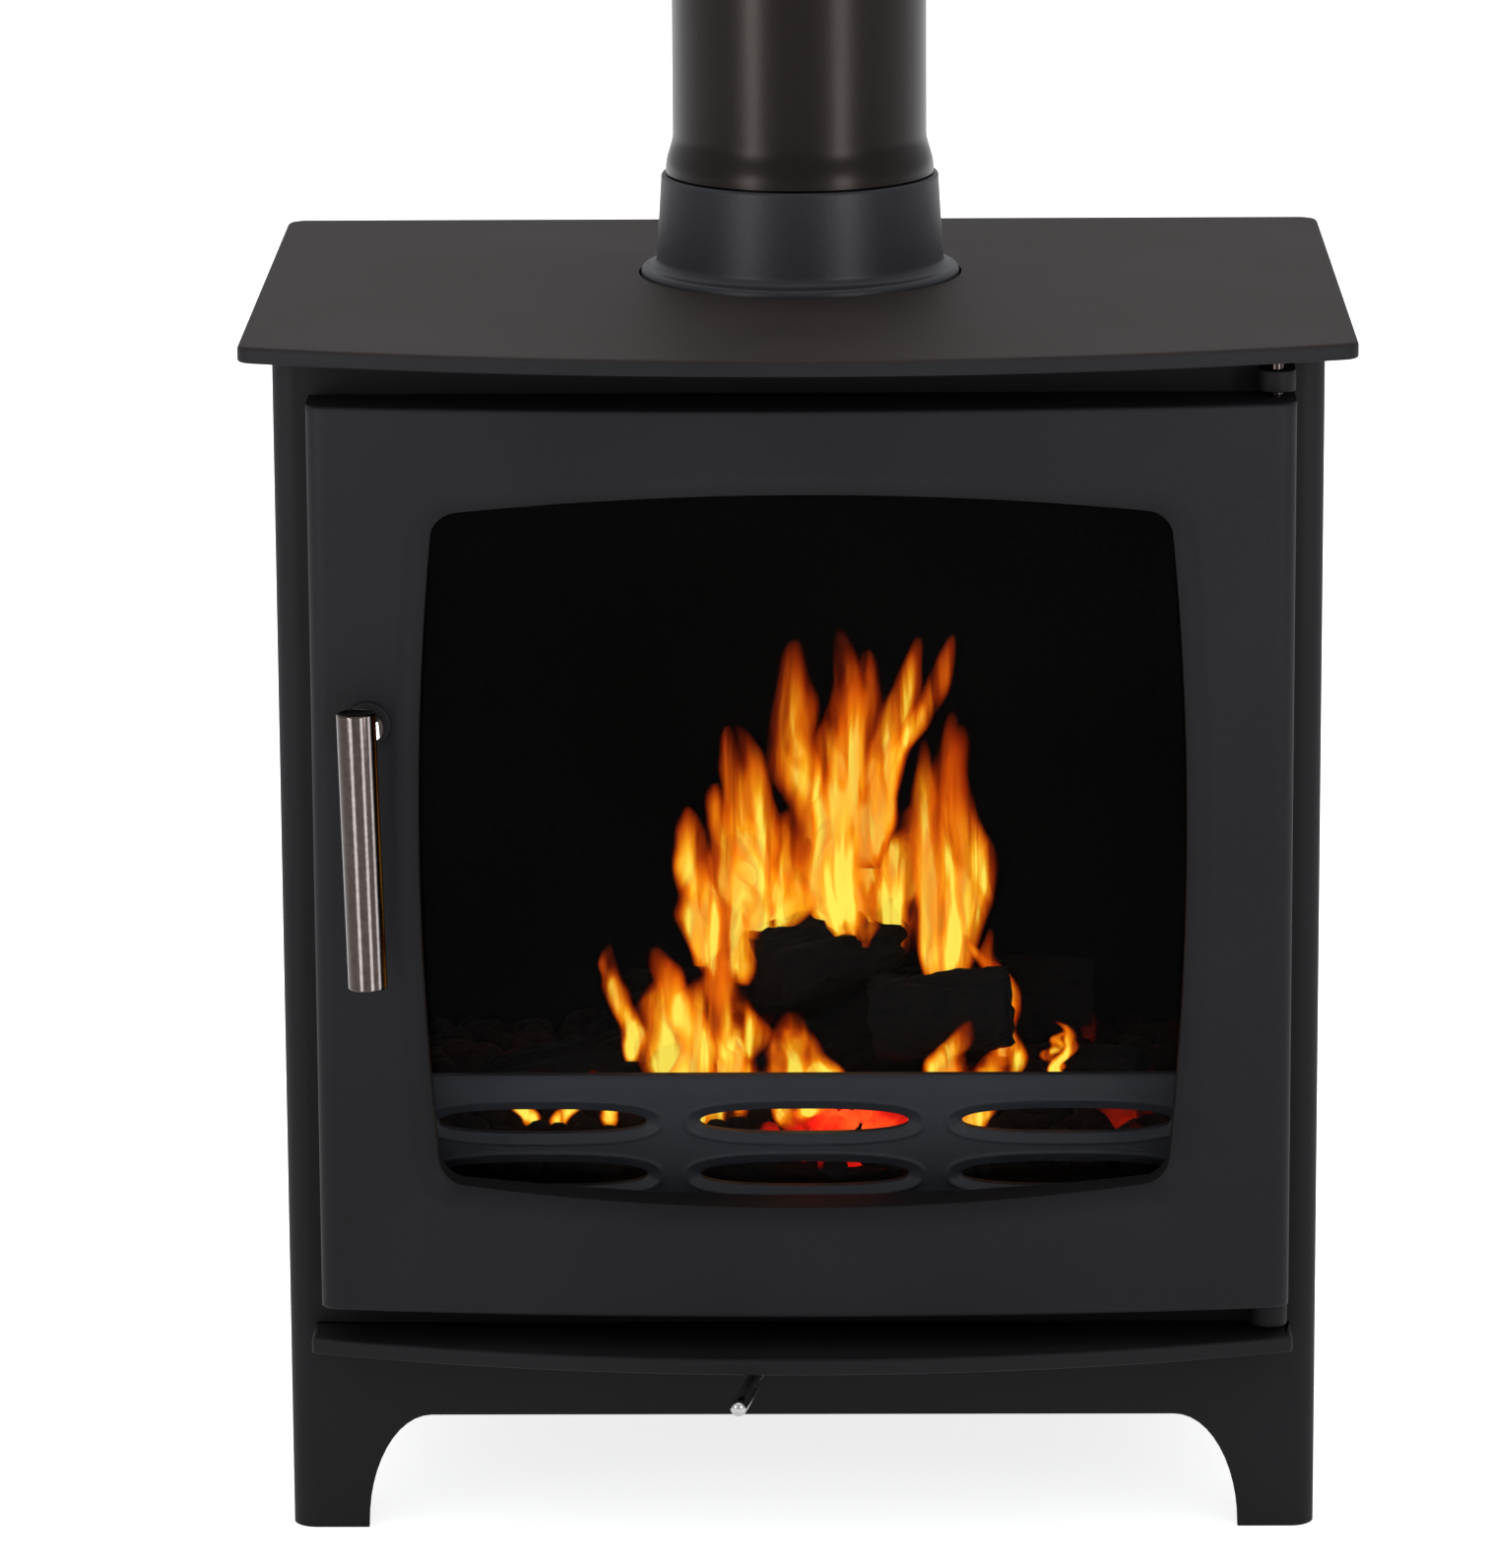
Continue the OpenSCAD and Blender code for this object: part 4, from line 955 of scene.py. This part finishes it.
def guard_cell(shell, column, row):
    x, z = GUARD_MIDDLE + column * SLOT_PITCH, UPPER_ROW - row * ROW_PITCH
    left = GUARD_LOW.x - x if column < 0 else -SLOT_PITCH / 2
    right = GUARD_HIGH.x - x if column > 0 else SLOT_PITCH / 2
    high = GUARD_HIGH.z - z if row == 0 else ROW_PITCH / 2
    low = GUARD_LOW.z - z if row == 1 else -ROW_PITCH / 2
    turns = [math.tau * i / STEPS_ROUND for i in range(STEPS_ROUND)]
    y = GUARD_LOW.y
    slot = [lens_point(t, SLOT_HALF, SLOT_RISE) for t in turns]
    dish = [lens_point(t, DISH_HALF, DISH_RISE, 0.72) for t in turns]
    loops = [[(x + px, GUARD_HIGH.y, z + pz) for px, pz in
              [cell_point(t, left, right, low, high) for t in turns]],
             [(x + px, GUARD_HIGH.y, z + pz) for px, pz in slot]]
    for share in (0, 0.07, 0.16, 0.26, 0.38, 0.5, 0.6, 0.68, 0.76, 0.84, 0.92, 1.0):
        drop = DISH_DEPTH * (1 - min(share / 0.76, 1)) ** 1.5
        drop -= RIDGE * math.sin(math.pi * max(share - 0.5, 0) * 2) ** 2
        loops.append([(x + px, y + drop + RIDGE, z + pz)
                      for px, pz in mix_loops(slot, dish, share)])
    border = [cell_point(t, left, right, low, high) for t in turns]
    inner = [(max(GUARD_LOW.x + EASED, min(GUARD_HIGH.x - EASED, x + px)) - x,
              max(GUARD_LOW.z + EASED, min(GUARD_HIGH.z - EASED, z + pz)) - z)
             for px, pz in border]
    loops.append([(x + px, y + RIDGE, z + pz) for px, pz in mix_loops(dish, inner, 0.12)])
    loops.append([(x + px, y + RIDGE, z + pz) for px, pz in inner])
    rim = [(x + px, y + RIDGE + edge_drop(x + px, z + pz), z + pz) for px, pz in border]
    loops.append(rim)
    add_loops(shell, loops, capped=False, closed=True)


def log_guard():
    piece = new_piece("log_guard_cast", guard_paint)
    shell = bmesh.new()
    for column in (-1, 0, 1):
        for row in (0, 1):
            guard_cell(shell, column, row)
    bmesh.ops.remove_doubles(shell, verts=shell.verts, dist=0.01 * MM)
    shared = {}
    for face in shell.faces:
        shared.setdefault(frozenset(face.verts), []).append(face)
    walls = [face for faces in shared.values() if len(faces) > 1 for face in faces]
    bmesh.ops.delete(shell, geom=walls, context="FACES")
    open_edges = sum(not edge.is_manifold for edge in shell.edges)
    finish_mesh(piece, shell)
    print("open edges on the guard:", open_edges)
    return piece


guard = log_guard()
keep(guard, "stove_body", "cast_paint", "log_guard")

# %% [markdown]
# ## The handle
# The handle is a solid bar that hangs from a spindle through the door. It is turned on a lathe,
# with a rounded edge and a shallow dished top. A hexagon nut with chamfered corners and a boss
# on the door stand behind it.

# %% Handle bar, nut and boss
BAR_LOW, BAR_HIGH = corners("handle_bar")
NUT_LOW, NUT_HIGH = corners("handle_nut")
SPINDLE_LOW, SPINDLE_HIGH = corners("handle_spindle")
SPINDLE = (NUT_LOW + NUT_HIGH) / 2
BAR_RADIUS = (BAR_HIGH.y - BAR_LOW.y) / 2
BAR_LEAN = math.radians(1.5)
BAR_TOP, BAR_LENGTH, BAR_EDGE = 12, 136, 1.0
BAR_OFFSET = 3.5
bar_axis = Vector((-math.sin(BAR_LEAN), 0, math.cos(BAR_LEAN)))
bar_centre = Vector((SPINDLE.x - BAR_OFFSET, (BAR_LOW.y + BAR_HIGH.y) / 2,
                     (SPINDLE_LOW.z + SPINDLE_HIGH.z) / 2))
bar_foot = BAR_TOP - BAR_LENGTH


def bar_profile():
    edge = BAR_RADIUS - BAR_EDGE
    profile = [(0.01, bar_foot), (edge - 1, bar_foot)]
    profile += arc(edge, bar_foot + BAR_EDGE, BAR_EDGE, 270, 360, 5)
    profile += arc(edge, BAR_TOP - BAR_EDGE, BAR_EDGE, 0, 90, 5)
    profile += [(edge - 0.8, BAR_TOP), (edge - 1.4, BAR_TOP - 0.5), (0.01, BAR_TOP - 0.8)]
    return profile


bar = turned("handle_bar_turned", stainless, bar_profile(), bar_centre, bar_axis, 96)
keep(bar, "handle", "stainless", "handle_bar")

NUT_FLATS, NUT_TURN, NUT_CHAMFER = 13, math.radians(36), 0.5


def hexagon_loop(radius, y):
    return [(SPINDLE.x + radius * math.cos(NUT_TURN + math.tau * i / 6), y,
             SPINDLE.z + radius * math.sin(NUT_TURN + math.tau * i / 6)) for i in range(6)]


nut_radius = NUT_FLATS / math.sqrt(3)
nut_loops = [hexagon_loop(nut_radius - d, y) for d, y in (
    (NUT_CHAMFER, NUT_LOW.y), (0, NUT_LOW.y + NUT_CHAMFER * 0.6),
    (0, NUT_HIGH.y - NUT_CHAMFER * 0.6), (NUT_CHAMFER, NUT_HIGH.y))]
nut = loop_piece("handle_nut_chamfered", bright_steel, nut_loops)
keep(nut, "handle", "stainless", "handle_nut")

BOSS_RADIUS, BOSS_HEIGHT, BOSS_ROOT = 11, 2.5, 6
boss_centre = Vector((SPINDLE.x, face_y(SPINDLE.x), SPINDLE.z))
boss_profile = [(6.1, -BOSS_ROOT), (BOSS_RADIUS, -BOSS_ROOT)]
boss_profile += arc(BOSS_RADIUS - 1, BOSS_HEIGHT - 1, 1, 0, 90, 5) + [(6.1, BOSS_HEIGHT)]
boss = turned("spindle_boss", cast_paint, boss_profile, boss_centre, TOWARD_VIEWER, 64,
              capped=False, closed=True)
keep(boss, "door", "cast_paint")

# %% [markdown]
# ## Hinges
# Two small lugs on the body carry the door's pins. Each lug is round in front and square where
# it is welded to the body. The pins end in a small dome.

# %% Hinge lugs and pins
PIN_DOME = 1.4


def lug(name, node):
    low, high = corners(node)
    radius = (high.x - low.x) / 2
    middle = (low.x + high.x) / 2
    outline = [(middle + radius, high.y)]
    outline += arc(middle, low.y + radius, radius, 0, -180, 24) + [(middle - radius, high.y)]
    piece = loop_piece(name, body_paint, plate_loops(outline, low.z, high.z, 0.8, 0.8))
    keep(piece, "stove_body", "body_paint", node)


def pin(name, node):
    low, high = corners(node)
    radius = (high.x - low.x) / 2
    centre = Vector(((low.x + high.x) / 2, (low.y + high.y) / 2, 0))
    dome = [(radius * math.cos(a), high.z - PIN_DOME + PIN_DOME * math.sin(a))
            for a in (math.radians(15 * i) for i in range(6))]
    tip = [(radius * math.cos(a), low.z + PIN_DOME - PIN_DOME * math.sin(a))
           for a in (math.radians(15 * i) for i in reversed(range(6)))]
    piece = turned(name, stainless, tip + dome, centre, UP, 32)
    keep(piece, "stove_body", "stainless", node)


lug("hinge_lug_top", "hinge_knuckle_top")
lug("hinge_lug_bottom", "hinge_knuckle_bottom")
pin("hinge_pin_top_domed", "hinge_pin_top")
pin("hinge_pin_bottom_domed", "hinge_pin_bottom")

# %% [markdown]
# ## The air lever
# A round rod slides the air shutter under the hearth. Its end is domed so that it is kind to a
# finger. It leans a few degrees to the left, which is the closed position.

# %% Air lever
LEVER_RADIUS = (LEVER_HIGH.z - LEVER_LOW.z) / 2
bolt_low, bolt_high = corners("air_pivot_bolt")
pivot = Vector(((bolt_low.x + bolt_high.x) / 2, (bolt_low.y + bolt_high.y) / 2,
                LEVER_LOW.z + LEVER_RADIUS))
lever_tip = Vector((LEVER_LOW.x + LEVER_RADIUS, LEVER_LOW.y + LEVER_RADIUS, pivot.z))
lever_axis = (lever_tip - pivot).normalized()
lever_reach_out = (lever_tip - pivot).length
dome_angles = [math.radians(9 * i) for i in range(10)]
LEVER_START, LEVER_EASE = 29, 0.5
lever_profile = [(0.01, LEVER_START), (LEVER_RADIUS - LEVER_EASE, LEVER_START),
                 (LEVER_RADIUS, LEVER_START + LEVER_EASE)]
lever_profile += [(LEVER_RADIUS * math.cos(a), lever_reach_out + LEVER_RADIUS * math.sin(a))
                  for a in dome_angles] + [(0.01, lever_reach_out + LEVER_RADIUS)]
lever = turned("air_lever_domed", bright_steel, lever_profile, pivot, lever_axis, 48)
keep(lever, "air_control", "stainless", "air_lever")

# %% [markdown]
# ## Screws that hold the glass
# The same screw is used in every glass clip. A Geometry Nodes tree builds one screw head with a
# drive socket and sets it on a point at each clip. The points come from the screws' own mesh in
# the CAD frame, so the heads stay with the clips if those move.

# %% Clip screws by instancing
HEAD_RADIUS, HEAD_FLATNESS, HEAD_SINK = 4.2, 0.62, 2.6
SOCKET_RADIUS, SOCKET_OUT = 1.9, 2.8


def screw_tree():
    tree, given = new_tree("clip_screws", head=1.0, height=1.0, finish=zinc_plate)
    dome = add_node(tree, "GeometryNodeMeshUVSphere", {"Segments": 20, "Rings": 12,
                                                       "Radius": given["head"]})
    flat = add_node(tree, "ShaderNodeCombineXYZ", {"X": 1.0, "Y": HEAD_FLATNESS, "Z": 1.0})
    head = add_node(tree, "GeometryNodeTransform", {"Geometry": dome.outputs["Mesh"],
                                                    "Scale": flat.outputs[0]})
    socket = add_node(tree, "GeometryNodeMeshCylinder", {
        "Vertices": 6, "Radius": SOCKET_RADIUS * MM, "Depth": given["height"]})
    spun = add_node(tree, "GeometryNodeTransform", {"Geometry": socket.outputs["Mesh"],
                                                    "Rotation": (math.pi / 2, 0, 0),
                                                    "Translation": (0, SOCKET_OUT * MM, 0)})
    cut = add_node(tree, "GeometryNodeMeshBoolean", {"Mesh 1": head.outputs[0],
                                                     "Mesh 2": spun.outputs[0]},
                   operation="DIFFERENCE")
    points = add_node(tree, "GeometryNodeMeshToPoints", {"Mesh": given["Geometry"]})
    placed = add_node(tree, "GeometryNodeInstanceOnPoints", {
        "Points": points.outputs[0], "Instance": cut.outputs[0]})
    close_tree(tree, placed.outputs[0], given["finish"])
    return tree


def screw_places():
    """The middle of each screw head, found from the loose parts of the screws' CAD mesh."""
    source = bmesh.new()
    source.from_mesh(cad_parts["glass_clip_screws"].data)
    bmesh.ops.remove_doubles(source, verts=source.verts, dist=0.01 * MM)
    waiting, places = set(source.verts), []
    while waiting:
        island, edge_of = [waiting.pop()], 0
        while edge_of < len(island):
            for edge in island[edge_of].link_edges:
                other = edge.other_vert(island[edge_of])
                if other in waiting:
                    waiting.discard(other)
                    island.append(other)
            edge_of += 1
        x = (min(v.co.x for v in island) + max(v.co.x for v in island)) / 2
        z = (min(v.co.z for v in island) + max(v.co.z for v in island)) / 2
        places.append(Vector((x, max(v.co.y for v in island) - HEAD_SINK * MM, z)))
    source.free()
    return sorted({tuple(round(c, 5) for c in place) for place in places
                   if place.y > FRONT + SEAT_FACE * MM})


screw_points = bpy.data.meshes.new("screw_points")
screw_points.from_pydata(screw_places(), [], [])
screws = run_tree("glass_clip_screws_domed", screw_tree(), zinc_plate,
                  {"head": HEAD_RADIUS * MM, "height": 4 * MM, "finish": zinc_plate}, screw_points)
refinish(screws)
keep(screws, "door", "zinc_steel", "glass_clip_screws")

# %% [markdown]
# ## Logs
# The fire is part of how a stove is shown. A log is a tube of loops: layered noise gives it
# ridged bark, a flattened side shows where it was split, and the ends are rough. Charred wood
# is black, cracked into little blocks about 12 mm wide, and it glows red low down where it
# meets the embers.

# %% Charred wood and logs
def charred_wood():
    material, tree, shader, place = new_material("charred_split_wood", Roughness=0.95,
                                                 Specular_IOR_Level=0.1)
    cracks = add_node(tree, "ShaderNodeTexVoronoi", {"Vector": place, "Scale": per_metre(12)},
                      feature="DISTANCE_TO_EDGE").outputs["Distance"]
    low_down = spread(tree, axis_of(tree, place, "Z"), 1.0, 0.0, EMBER_Z * MM,
                      (EMBER_Z + GLOW_REACH) * MM)
    lit = spread(tree, cloud(tree, place, 30, 4.0), 0.0, 1.0, 0.52, 0.7)
    glow = math_node(tree, "MULTIPLY", low_down, lit)
    feed(tree, shader, Base_Color=blend_colours(tree, cracks, "#0d0603", "#030202", 0.02, 0.15),
         Emission_Color=linear("#ff2a08"), Emission_Strength=math_node(tree, "MULTIPLY", glow, 0.5))
    raise_surface(tree, shader, cracks, 2.0)
    return material


EMBER_Z = corners("grate")[1].z
GLOW_REACH = 34
burnt_wood = charred_wood()
# Each log: its name, its two ends, its radius, how much is split off one side, and its seed.
LOGS = (("log_left", (-158, 128, 186), (-40, 92, 222), 25, 0.25, 1),
        ("log_rear", (-92, 232, 196), (150, 236, 200), 30, 0.1, 2),
        ("log_centre", (-26, 84, 190), (58, 190, 208), 28, 0.2, 3),
        ("log_top", (-24, 106, 254), (40, 158, 262), 24, 0.4, 4),
        ("log_right", (36, 84, 238), (104, 78, 246), 20, 0.15, 5),
        ("log_far_right", (74, 130, 190), (172, 92, 196), 24, 0.2, 6))


def log_piece(name, start, stop, radius, split, seed, around=72, along=60):
    start, stop = Vector(start), Vector(stop)
    axis = (stop - start).normalized()
    side = axis.orthogonal().normalized()
    across = axis.cross(side)
    loops = []
    for i in range(along + 1):
        share = i / along
        centre = start.lerp(stop, share)
        ring = []
        for j in range(around):
            a = math.tau * j / around
            spot = side * math.cos(a) + across * math.sin(a)
            sample = Vector((spot.x * 1.6, spot.y * 1.6, spot.z * 1.6)) + axis * share * 1.5
            rough = noise.fractal(sample * 2 + Vector((seed * 7, 0, 0)), 1.0, 2.0, 5)
            bark = noise.noise(Vector((math.cos(a) * 7, math.sin(a) * 7, share * 2.5 + seed)))
            flat = 1 - split * max(0, math.cos(a - seed)) ** 2
            size = radius * flat * (1 + 0.16 * rough + 0.07 * bark)
            end = 0.94 + 0.06 * min(1, min(share, 1 - share) * 12)
            skew = 0.12 * radius * noise.noise(Vector((math.cos(a) * 3, math.sin(a) * 3, seed)))
            at_end = skew * (1 if i in (0, along) else 0)
            ring.append(centre + spot * size * end + axis * at_end)
        loops.append(ring)
    return loop_piece(name, burnt_wood, loops)


for name, start, stop, radius, split, seed in LOGS:
    log = log_piece(name, start, stop, radius, split, seed)
    keep(log, "stove_body", "inner_iron")

# %% [markdown]
# ## Embers
# A bed of embers is hundreds of rough lumps. Nodes scatter points on a flat patch above the
# grate with a fixed seed, and put a small icosphere on each, turned and sized at random.
# Each lump is a few dozen faces, because there are so many. Noise decides which ones still glow,
# and the glow gathers near the front of the bed, a little right of the middle.

# %% Ember bed by scattering
EMBER_HEART = 18
BED_HALF, BED_FRONT, BED_DEPTH, BED_LIFT, BED_RISE = 198, 28, 246, 3, 15


def glowing_ember():
    material, tree, shader, place = new_material("glowing_charcoal_ember", Roughness=0.95,
                                                 Specular_IOR_Level=0.1)
    tone = cloud(tree, place, 58, 6.0)
    aside = math_node(tree, "SUBTRACT", axis_of(tree, place, "X"), EMBER_HEART * MM)
    middling = spread(tree, math_node(tree, "ABSOLUTE", aside), 1.7, 0.25, 10 * MM, 100 * MM)
    gathered = math_node(tree, "ADD", tone, math_node(tree, "MULTIPLY", middling, 0.1))
    alight = spread(tree, axis_of(tree, place, "Y"), 1.1, 0.01, FRONT + 62 * MM, FRONT + 130 * MM)
    feed(tree, shader, Base_Color=blend_colours(tree, tone, "#070505", "#1d0c06"),
         Emission_Color=colour_ramp(tree, gathered, (0.65, "#000000"), (0.76, "#c81408"),
                                    (0.88, "#ff5a1c")),
         Emission_Strength=math_node(tree, "MULTIPLY", alight, middling))
    raise_surface(tree, shader, tone, 1.5)
    return material


ember_finish = glowing_ember()


def ember_tree():
    tree, given = new_tree("ember_bed", per_square_metre=1.0, smallest=1.0, largest=2.0,
                           finish=ember_finish)
    points = add_node(tree, "GeometryNodeDistributePointsOnFaces", {
        "Mesh": given["Geometry"], "Density": given["per_square_metre"], "Seed": 11})
    lump = add_node(tree, "GeometryNodeMeshIcoSphere", {"Radius": 1.0, "Subdivisions": 2})
    size = add_node(tree, "FunctionNodeRandomValue", {2: given["smallest"],
                                                      3: given["largest"], "Seed": 3},
                    data_type="FLOAT")
    squash = add_node(tree, "ShaderNodeCombineXYZ", {
        "X": size.outputs[1], "Y": math_node(tree, "MULTIPLY", size.outputs[1], 0.8),
        "Z": math_node(tree, "MULTIPLY", size.outputs[1], 0.65)})
    turn = add_node(tree, "FunctionNodeRandomValue", {0: (0, 0, 0), 1: (6.28, 6.28, 6.28),
                                                      "Seed": 5}, data_type="FLOAT_VECTOR")
    placed = add_node(tree, "GeometryNodeInstanceOnPoints", {
        "Points": points.outputs["Points"], "Instance": lump.outputs[0],
        "Rotation": turn.outputs[0], "Scale": squash.outputs[0]})
    close_tree(tree, placed.outputs[0], given["finish"])
    return tree


def ember_patch():
    """A low mound over the grate that the embers lie on."""
    patch = bpy.data.meshes.new("ember_patch")
    columns, rows = 24, 14
    points, faces = [], []
    for j in range(rows + 1):
        for i in range(columns + 1):
            u, v = i / columns, j / rows
            rise = BED_RISE * math.sin(math.pi * u) ** 0.5 * min(1, 5 * v) * (1 - 0.4 * v)
            points.append(metres((-BED_HALF + 2 * BED_HALF * u, BED_FRONT + BED_DEPTH * v,
                                  EMBER_Z + BED_LIFT + rise)))
    for j in range(rows):
        for i in range(columns):
            a = j * (columns + 1) + i
            faces.append((a, a + 1, a + columns + 2, a + columns + 1))
    patch.from_pydata(points, [], faces)
    return patch


embers = run_tree("ember_bed", ember_tree(), ember_finish, {
    "per_square_metre": 9000.0, "smallest": 5 * MM, "largest": 12 * MM,
    "finish": ember_finish}, ember_patch())
embers.data.shade_smooth()
keep(embers, "stove_body", "inner_iron")

# %% [markdown]
# ## Flames
# A flame is a thin sheet of hot gas. Each tongue here is a closed, flattened body that sways
# along a curved spine and ends in a soft tip. Its light is yellow in the core, orange further out
# and red at the tip. It fades towards its outline, and upright streaks thin it, so overlapping
# tongues mix as real ones do.

# %% Flames
def burning_gas():
    material, tree, shader, place = new_material("burning_wood_gas", Roughness=1.0,
                                                 Specular_IOR_Level=0.0,
                                                 Base_Color=linear("#000000"))
    streaks = cloud(tree, drawn_out(tree, place, 0.1), 13, 3.0, 0.8)
    core = add_node(tree, "ShaderNodeAttribute", attribute_name="core").outputs["Fac"]
    tone = math_node(tree, "MULTIPLY", core, spread(tree, streaks, -1.4, 3.6))
    feed(tree, shader, Alpha=spread(tree, tone, 0.0, 0.85, 0.04, 0.95), Emission_Strength=1.15,
         Emission_Color=colour_ramp(tree, tone, (0.0, "#4a0600"), (0.22, "#c23200"),
                                    (0.45, "#f56e02"), (0.7, "#ffa812"), (0.95, "#ffe655")))
    return material


flame_gas = burning_gas()
# Each group: its name, how many tongues, the ranges of x and depth, the height of its foot, and
# the ranges of the tongues' height, width and lean.
FLAME_GROUPS = (
    ("crown_low", 7, (-34, 50), (120, 150), 256, (70, 104), (34, 50), (-16, 18)),
    ("crown_tall", 3, (-4, 26), (116, 134), 268, (150, 160), (30, 40), (2, 10)),
    ("crown_hook", 2, (-30, -16), (112, 124), 276, (92, 108), (20, 26), (-14, -4)),
    ("left_arch", 3, (-52, -30), (104, 118), 250, (70, 88), (26, 34), (-8, 10)),
    ("right_branch", 2, (30, 42), (112, 126), 300, (112, 124), (20, 26), (26, 34)),
    ("tall_right", 3, (68, 78), (112, 132), 244, (112, 142), (22, 30), (-6, 4)),
    ("left_bank", 4, (-66, -32), (62, 88), 186, (84, 112), (28, 40), (-10, 8)),
    ("left_lick", 1, (-82, -82), (84, 84), 214, (62, 62), (16, 16), (-16, -16)),
    ("low_left", 3, (-148, -92), (56, 70), 188, (24, 36), (10, 14), (6, 16)),
    ("low_middle", 2, (-8, 8), (46, 52), 190, (54, 62), (28, 34), (-8, 6)),
    ("low_right", 3, (64, 86), (46, 56), 186, (40, 54), (20, 28), (4, 14)),
    ("right_edge", 2, (98, 108), (96, 104), 200, (70, 112), (13, 17), (-24, -12)),
    ("far_right", 2, (124, 134), (76, 84), 206, (22, 34), (8, 11), (-4, 4)))


def flame_tongues():
    """Draws the tongues of every group: place, height, width, lean and sway."""
    draw = random.Random(7)
    tongues = []
    for group, count, across, deep, foot, tall, wide, lean in FLAME_GROUPS:
        for i in range(count):
            share = (i + 0.5) / count
            x = across[0] + (across[1] - across[0]) * share
            outward = lean[0] + (lean[1] - lean[0]) * share
            tongues.append((x, draw.uniform(*deep), foot + draw.uniform(0, 8),
                            draw.uniform(*tall), draw.uniform(*wide),
                            outward + draw.uniform(-8, 8), draw.uniform(-14, 14)))
        print(group, count, "tongues")
    return tongues


def flame(shell, core, x, y, z, height, width, lean, sway, around=24, along=44):
    rings = []
    for i in range(along + 1):
        share = i / along
        girth = width * 0.78 * (share + 0.04) ** 0.35 * (1 - share) ** 0.5 + 0.05
        flicker = 1 + 0.3 * noise.noise(Vector((x * 0.1, share * 5, 0)))
        wander = 1.1 * sway * noise.noise(Vector((x * 0.37, share * 3.2, 4.0)))
        middle = Vector((x + lean * share ** 1.5 + sway * math.sin(4 * share + x) * share + wander,
                         y + 5 * math.sin(4 * share + x), z + height * share))
        ring = []
        for j in range(around):
            a = math.tau * j / around
            curl = 1 + 0.22 * noise.noise(Vector((math.cos(a) * 1.5 + x, share * 7, 2.0)))
            wide = girth * flicker * curl * math.cos(a)
            deep = girth * 0.4 * math.sin(a)
            vertex = shell.verts.new(metres(middle + Vector((wide, deep, 0))))
            hot = abs(math.sin(a)) ** 2.2 * (1 - share) ** 0.6 * min(1, 0.45 + share * 5)
            vertex[core] = max(hot, 0.0)
            ring.append(vertex)
        rings.append(ring)
    skin(shell, rings)


def all_flames():
    piece = new_piece("flames", flame_gas)
    shell = bmesh.new()
    core = shell.verts.layers.float.new("core")
    for tongue in flame_tongues():
        flame(shell, core, *tongue)
    bmesh.ops.recalc_face_normals(shell, faces=shell.faces)
    shell.to_mesh(piece.data)
    shell.free()
    piece.data.shade_smooth()
    return piece


flames = all_flames()
keep(flames, "stove_body", "inner_iron")

# %% [markdown]
# ## The studio
# A plain pale floor runs back far enough to be the whole background. It is opal acrylic lit
# faintly from below, as a product table is, which keeps the shadows under the stove soft. Two
# soft boxes, left and right of the camera, draw the upright streaks on the pipe, and three
# narrow strips near the handle draw the streaks on its bar. They light gloss only, and the
# strips are linked to the bar and the nut, so that the window doesn't mirror them.

# %% Floor
TABLE_GLOW = 0.78


def pale_floor():
    material, tree, shader, place = new_material("pale_matt_floor", Roughness=0.9,
                                                 Specular_IOR_Level=0.1)
    grain = cloud(tree, place, 400, 2.0)
    feed(tree, shader, Base_Color=blend_colours(tree, grain, "#f4f4f4", "#f8f8f8"),
         Emission_Color=linear("#ffffff"), Emission_Strength=TABLE_GLOW)
    return material


FLOOR_REACH = 14000
floor = new_piece("studio_floor", pale_floor())
floor_corners = [metres((x * FLOOR_REACH, y * FLOOR_REACH, FLOOR_Z))
                 for x, y in ((-1, -1), (1, -1), (1, 1), (-1, 1))]
floor.data.from_pydata(floor_corners, [], [(0, 1, 2, 3)])
print("floor", 2 * FLOOR_REACH * MM, "m wide")

# %% Lights and surroundings
STRIP_COLOUR, STRIP_HEIGHT = (0.78, 0.92, 1.0), 0.54


def soft_box(name, place, target, width, height, power, gloss_only=True, only_on=None):
    data = bpy.data.lights.new(name, "AREA")
    data.shape = "RECTANGLE"
    data.size, data.size_y = width, height
    data.energy = power
    lamp = bpy.data.objects.new(name, data)
    lamp.location = place
    lamp.rotation_euler = (Vector(target) - Vector(place)).to_track_quat("-Z", "Y").to_euler()
    lamp.visible_camera = False
    lamp.visible_diffuse = not gloss_only
    bpy.context.scene.collection.objects.link(lamp)
    if only_on:
        data.color = STRIP_COLOUR
        lamp.light_linking.receiver_collection = only_on


PIPE_AIM, HANDLE_AIM = (0, 0, 0.7), (-0.19, -0.19, 0.3)
soft_box("soft_box_left", (-0.8, -0.83, 0.66), PIPE_AIM, 0.17, 0.6, 6.5)
soft_box("soft_box_right", (0.7, -0.86, 0.66), PIPE_AIM, 0.17, 0.6, 5.5)
handle_parts = bpy.data.collections.new("handle_parts")
for part in (bar, nut):
    handle_parts.objects.link(part)
for side, place, width, power in (("left", (-0.4, -0.5, 0.28), 0.11, 2.4),
                                  ("middle", (-0.01, -0.5, 0.28), 0.1, 2.2),
                                  ("right", (0.2, -0.26, 0.28), 0.1, 1.9)):
    soft_box("strip_" + side, place, HANDLE_AIM, width, STRIP_HEIGHT, power,
             only_on=handle_parts)
soft_box("soft_box_above", (0, 0.4, 3.2), (0, 0.2, 0), 3.0, 3.0, 35, False)

world = bpy.data.worlds.new("studio_surroundings")
world.use_nodes = True
background = world.node_tree.nodes["Background"]
background.inputs["Color"].default_value = linear("#f6f8fb")
background.inputs["Strength"].default_value = 0.85
bpy.context.scene.world = world
bpy.context.scene.view_settings.view_transform = "Standard"
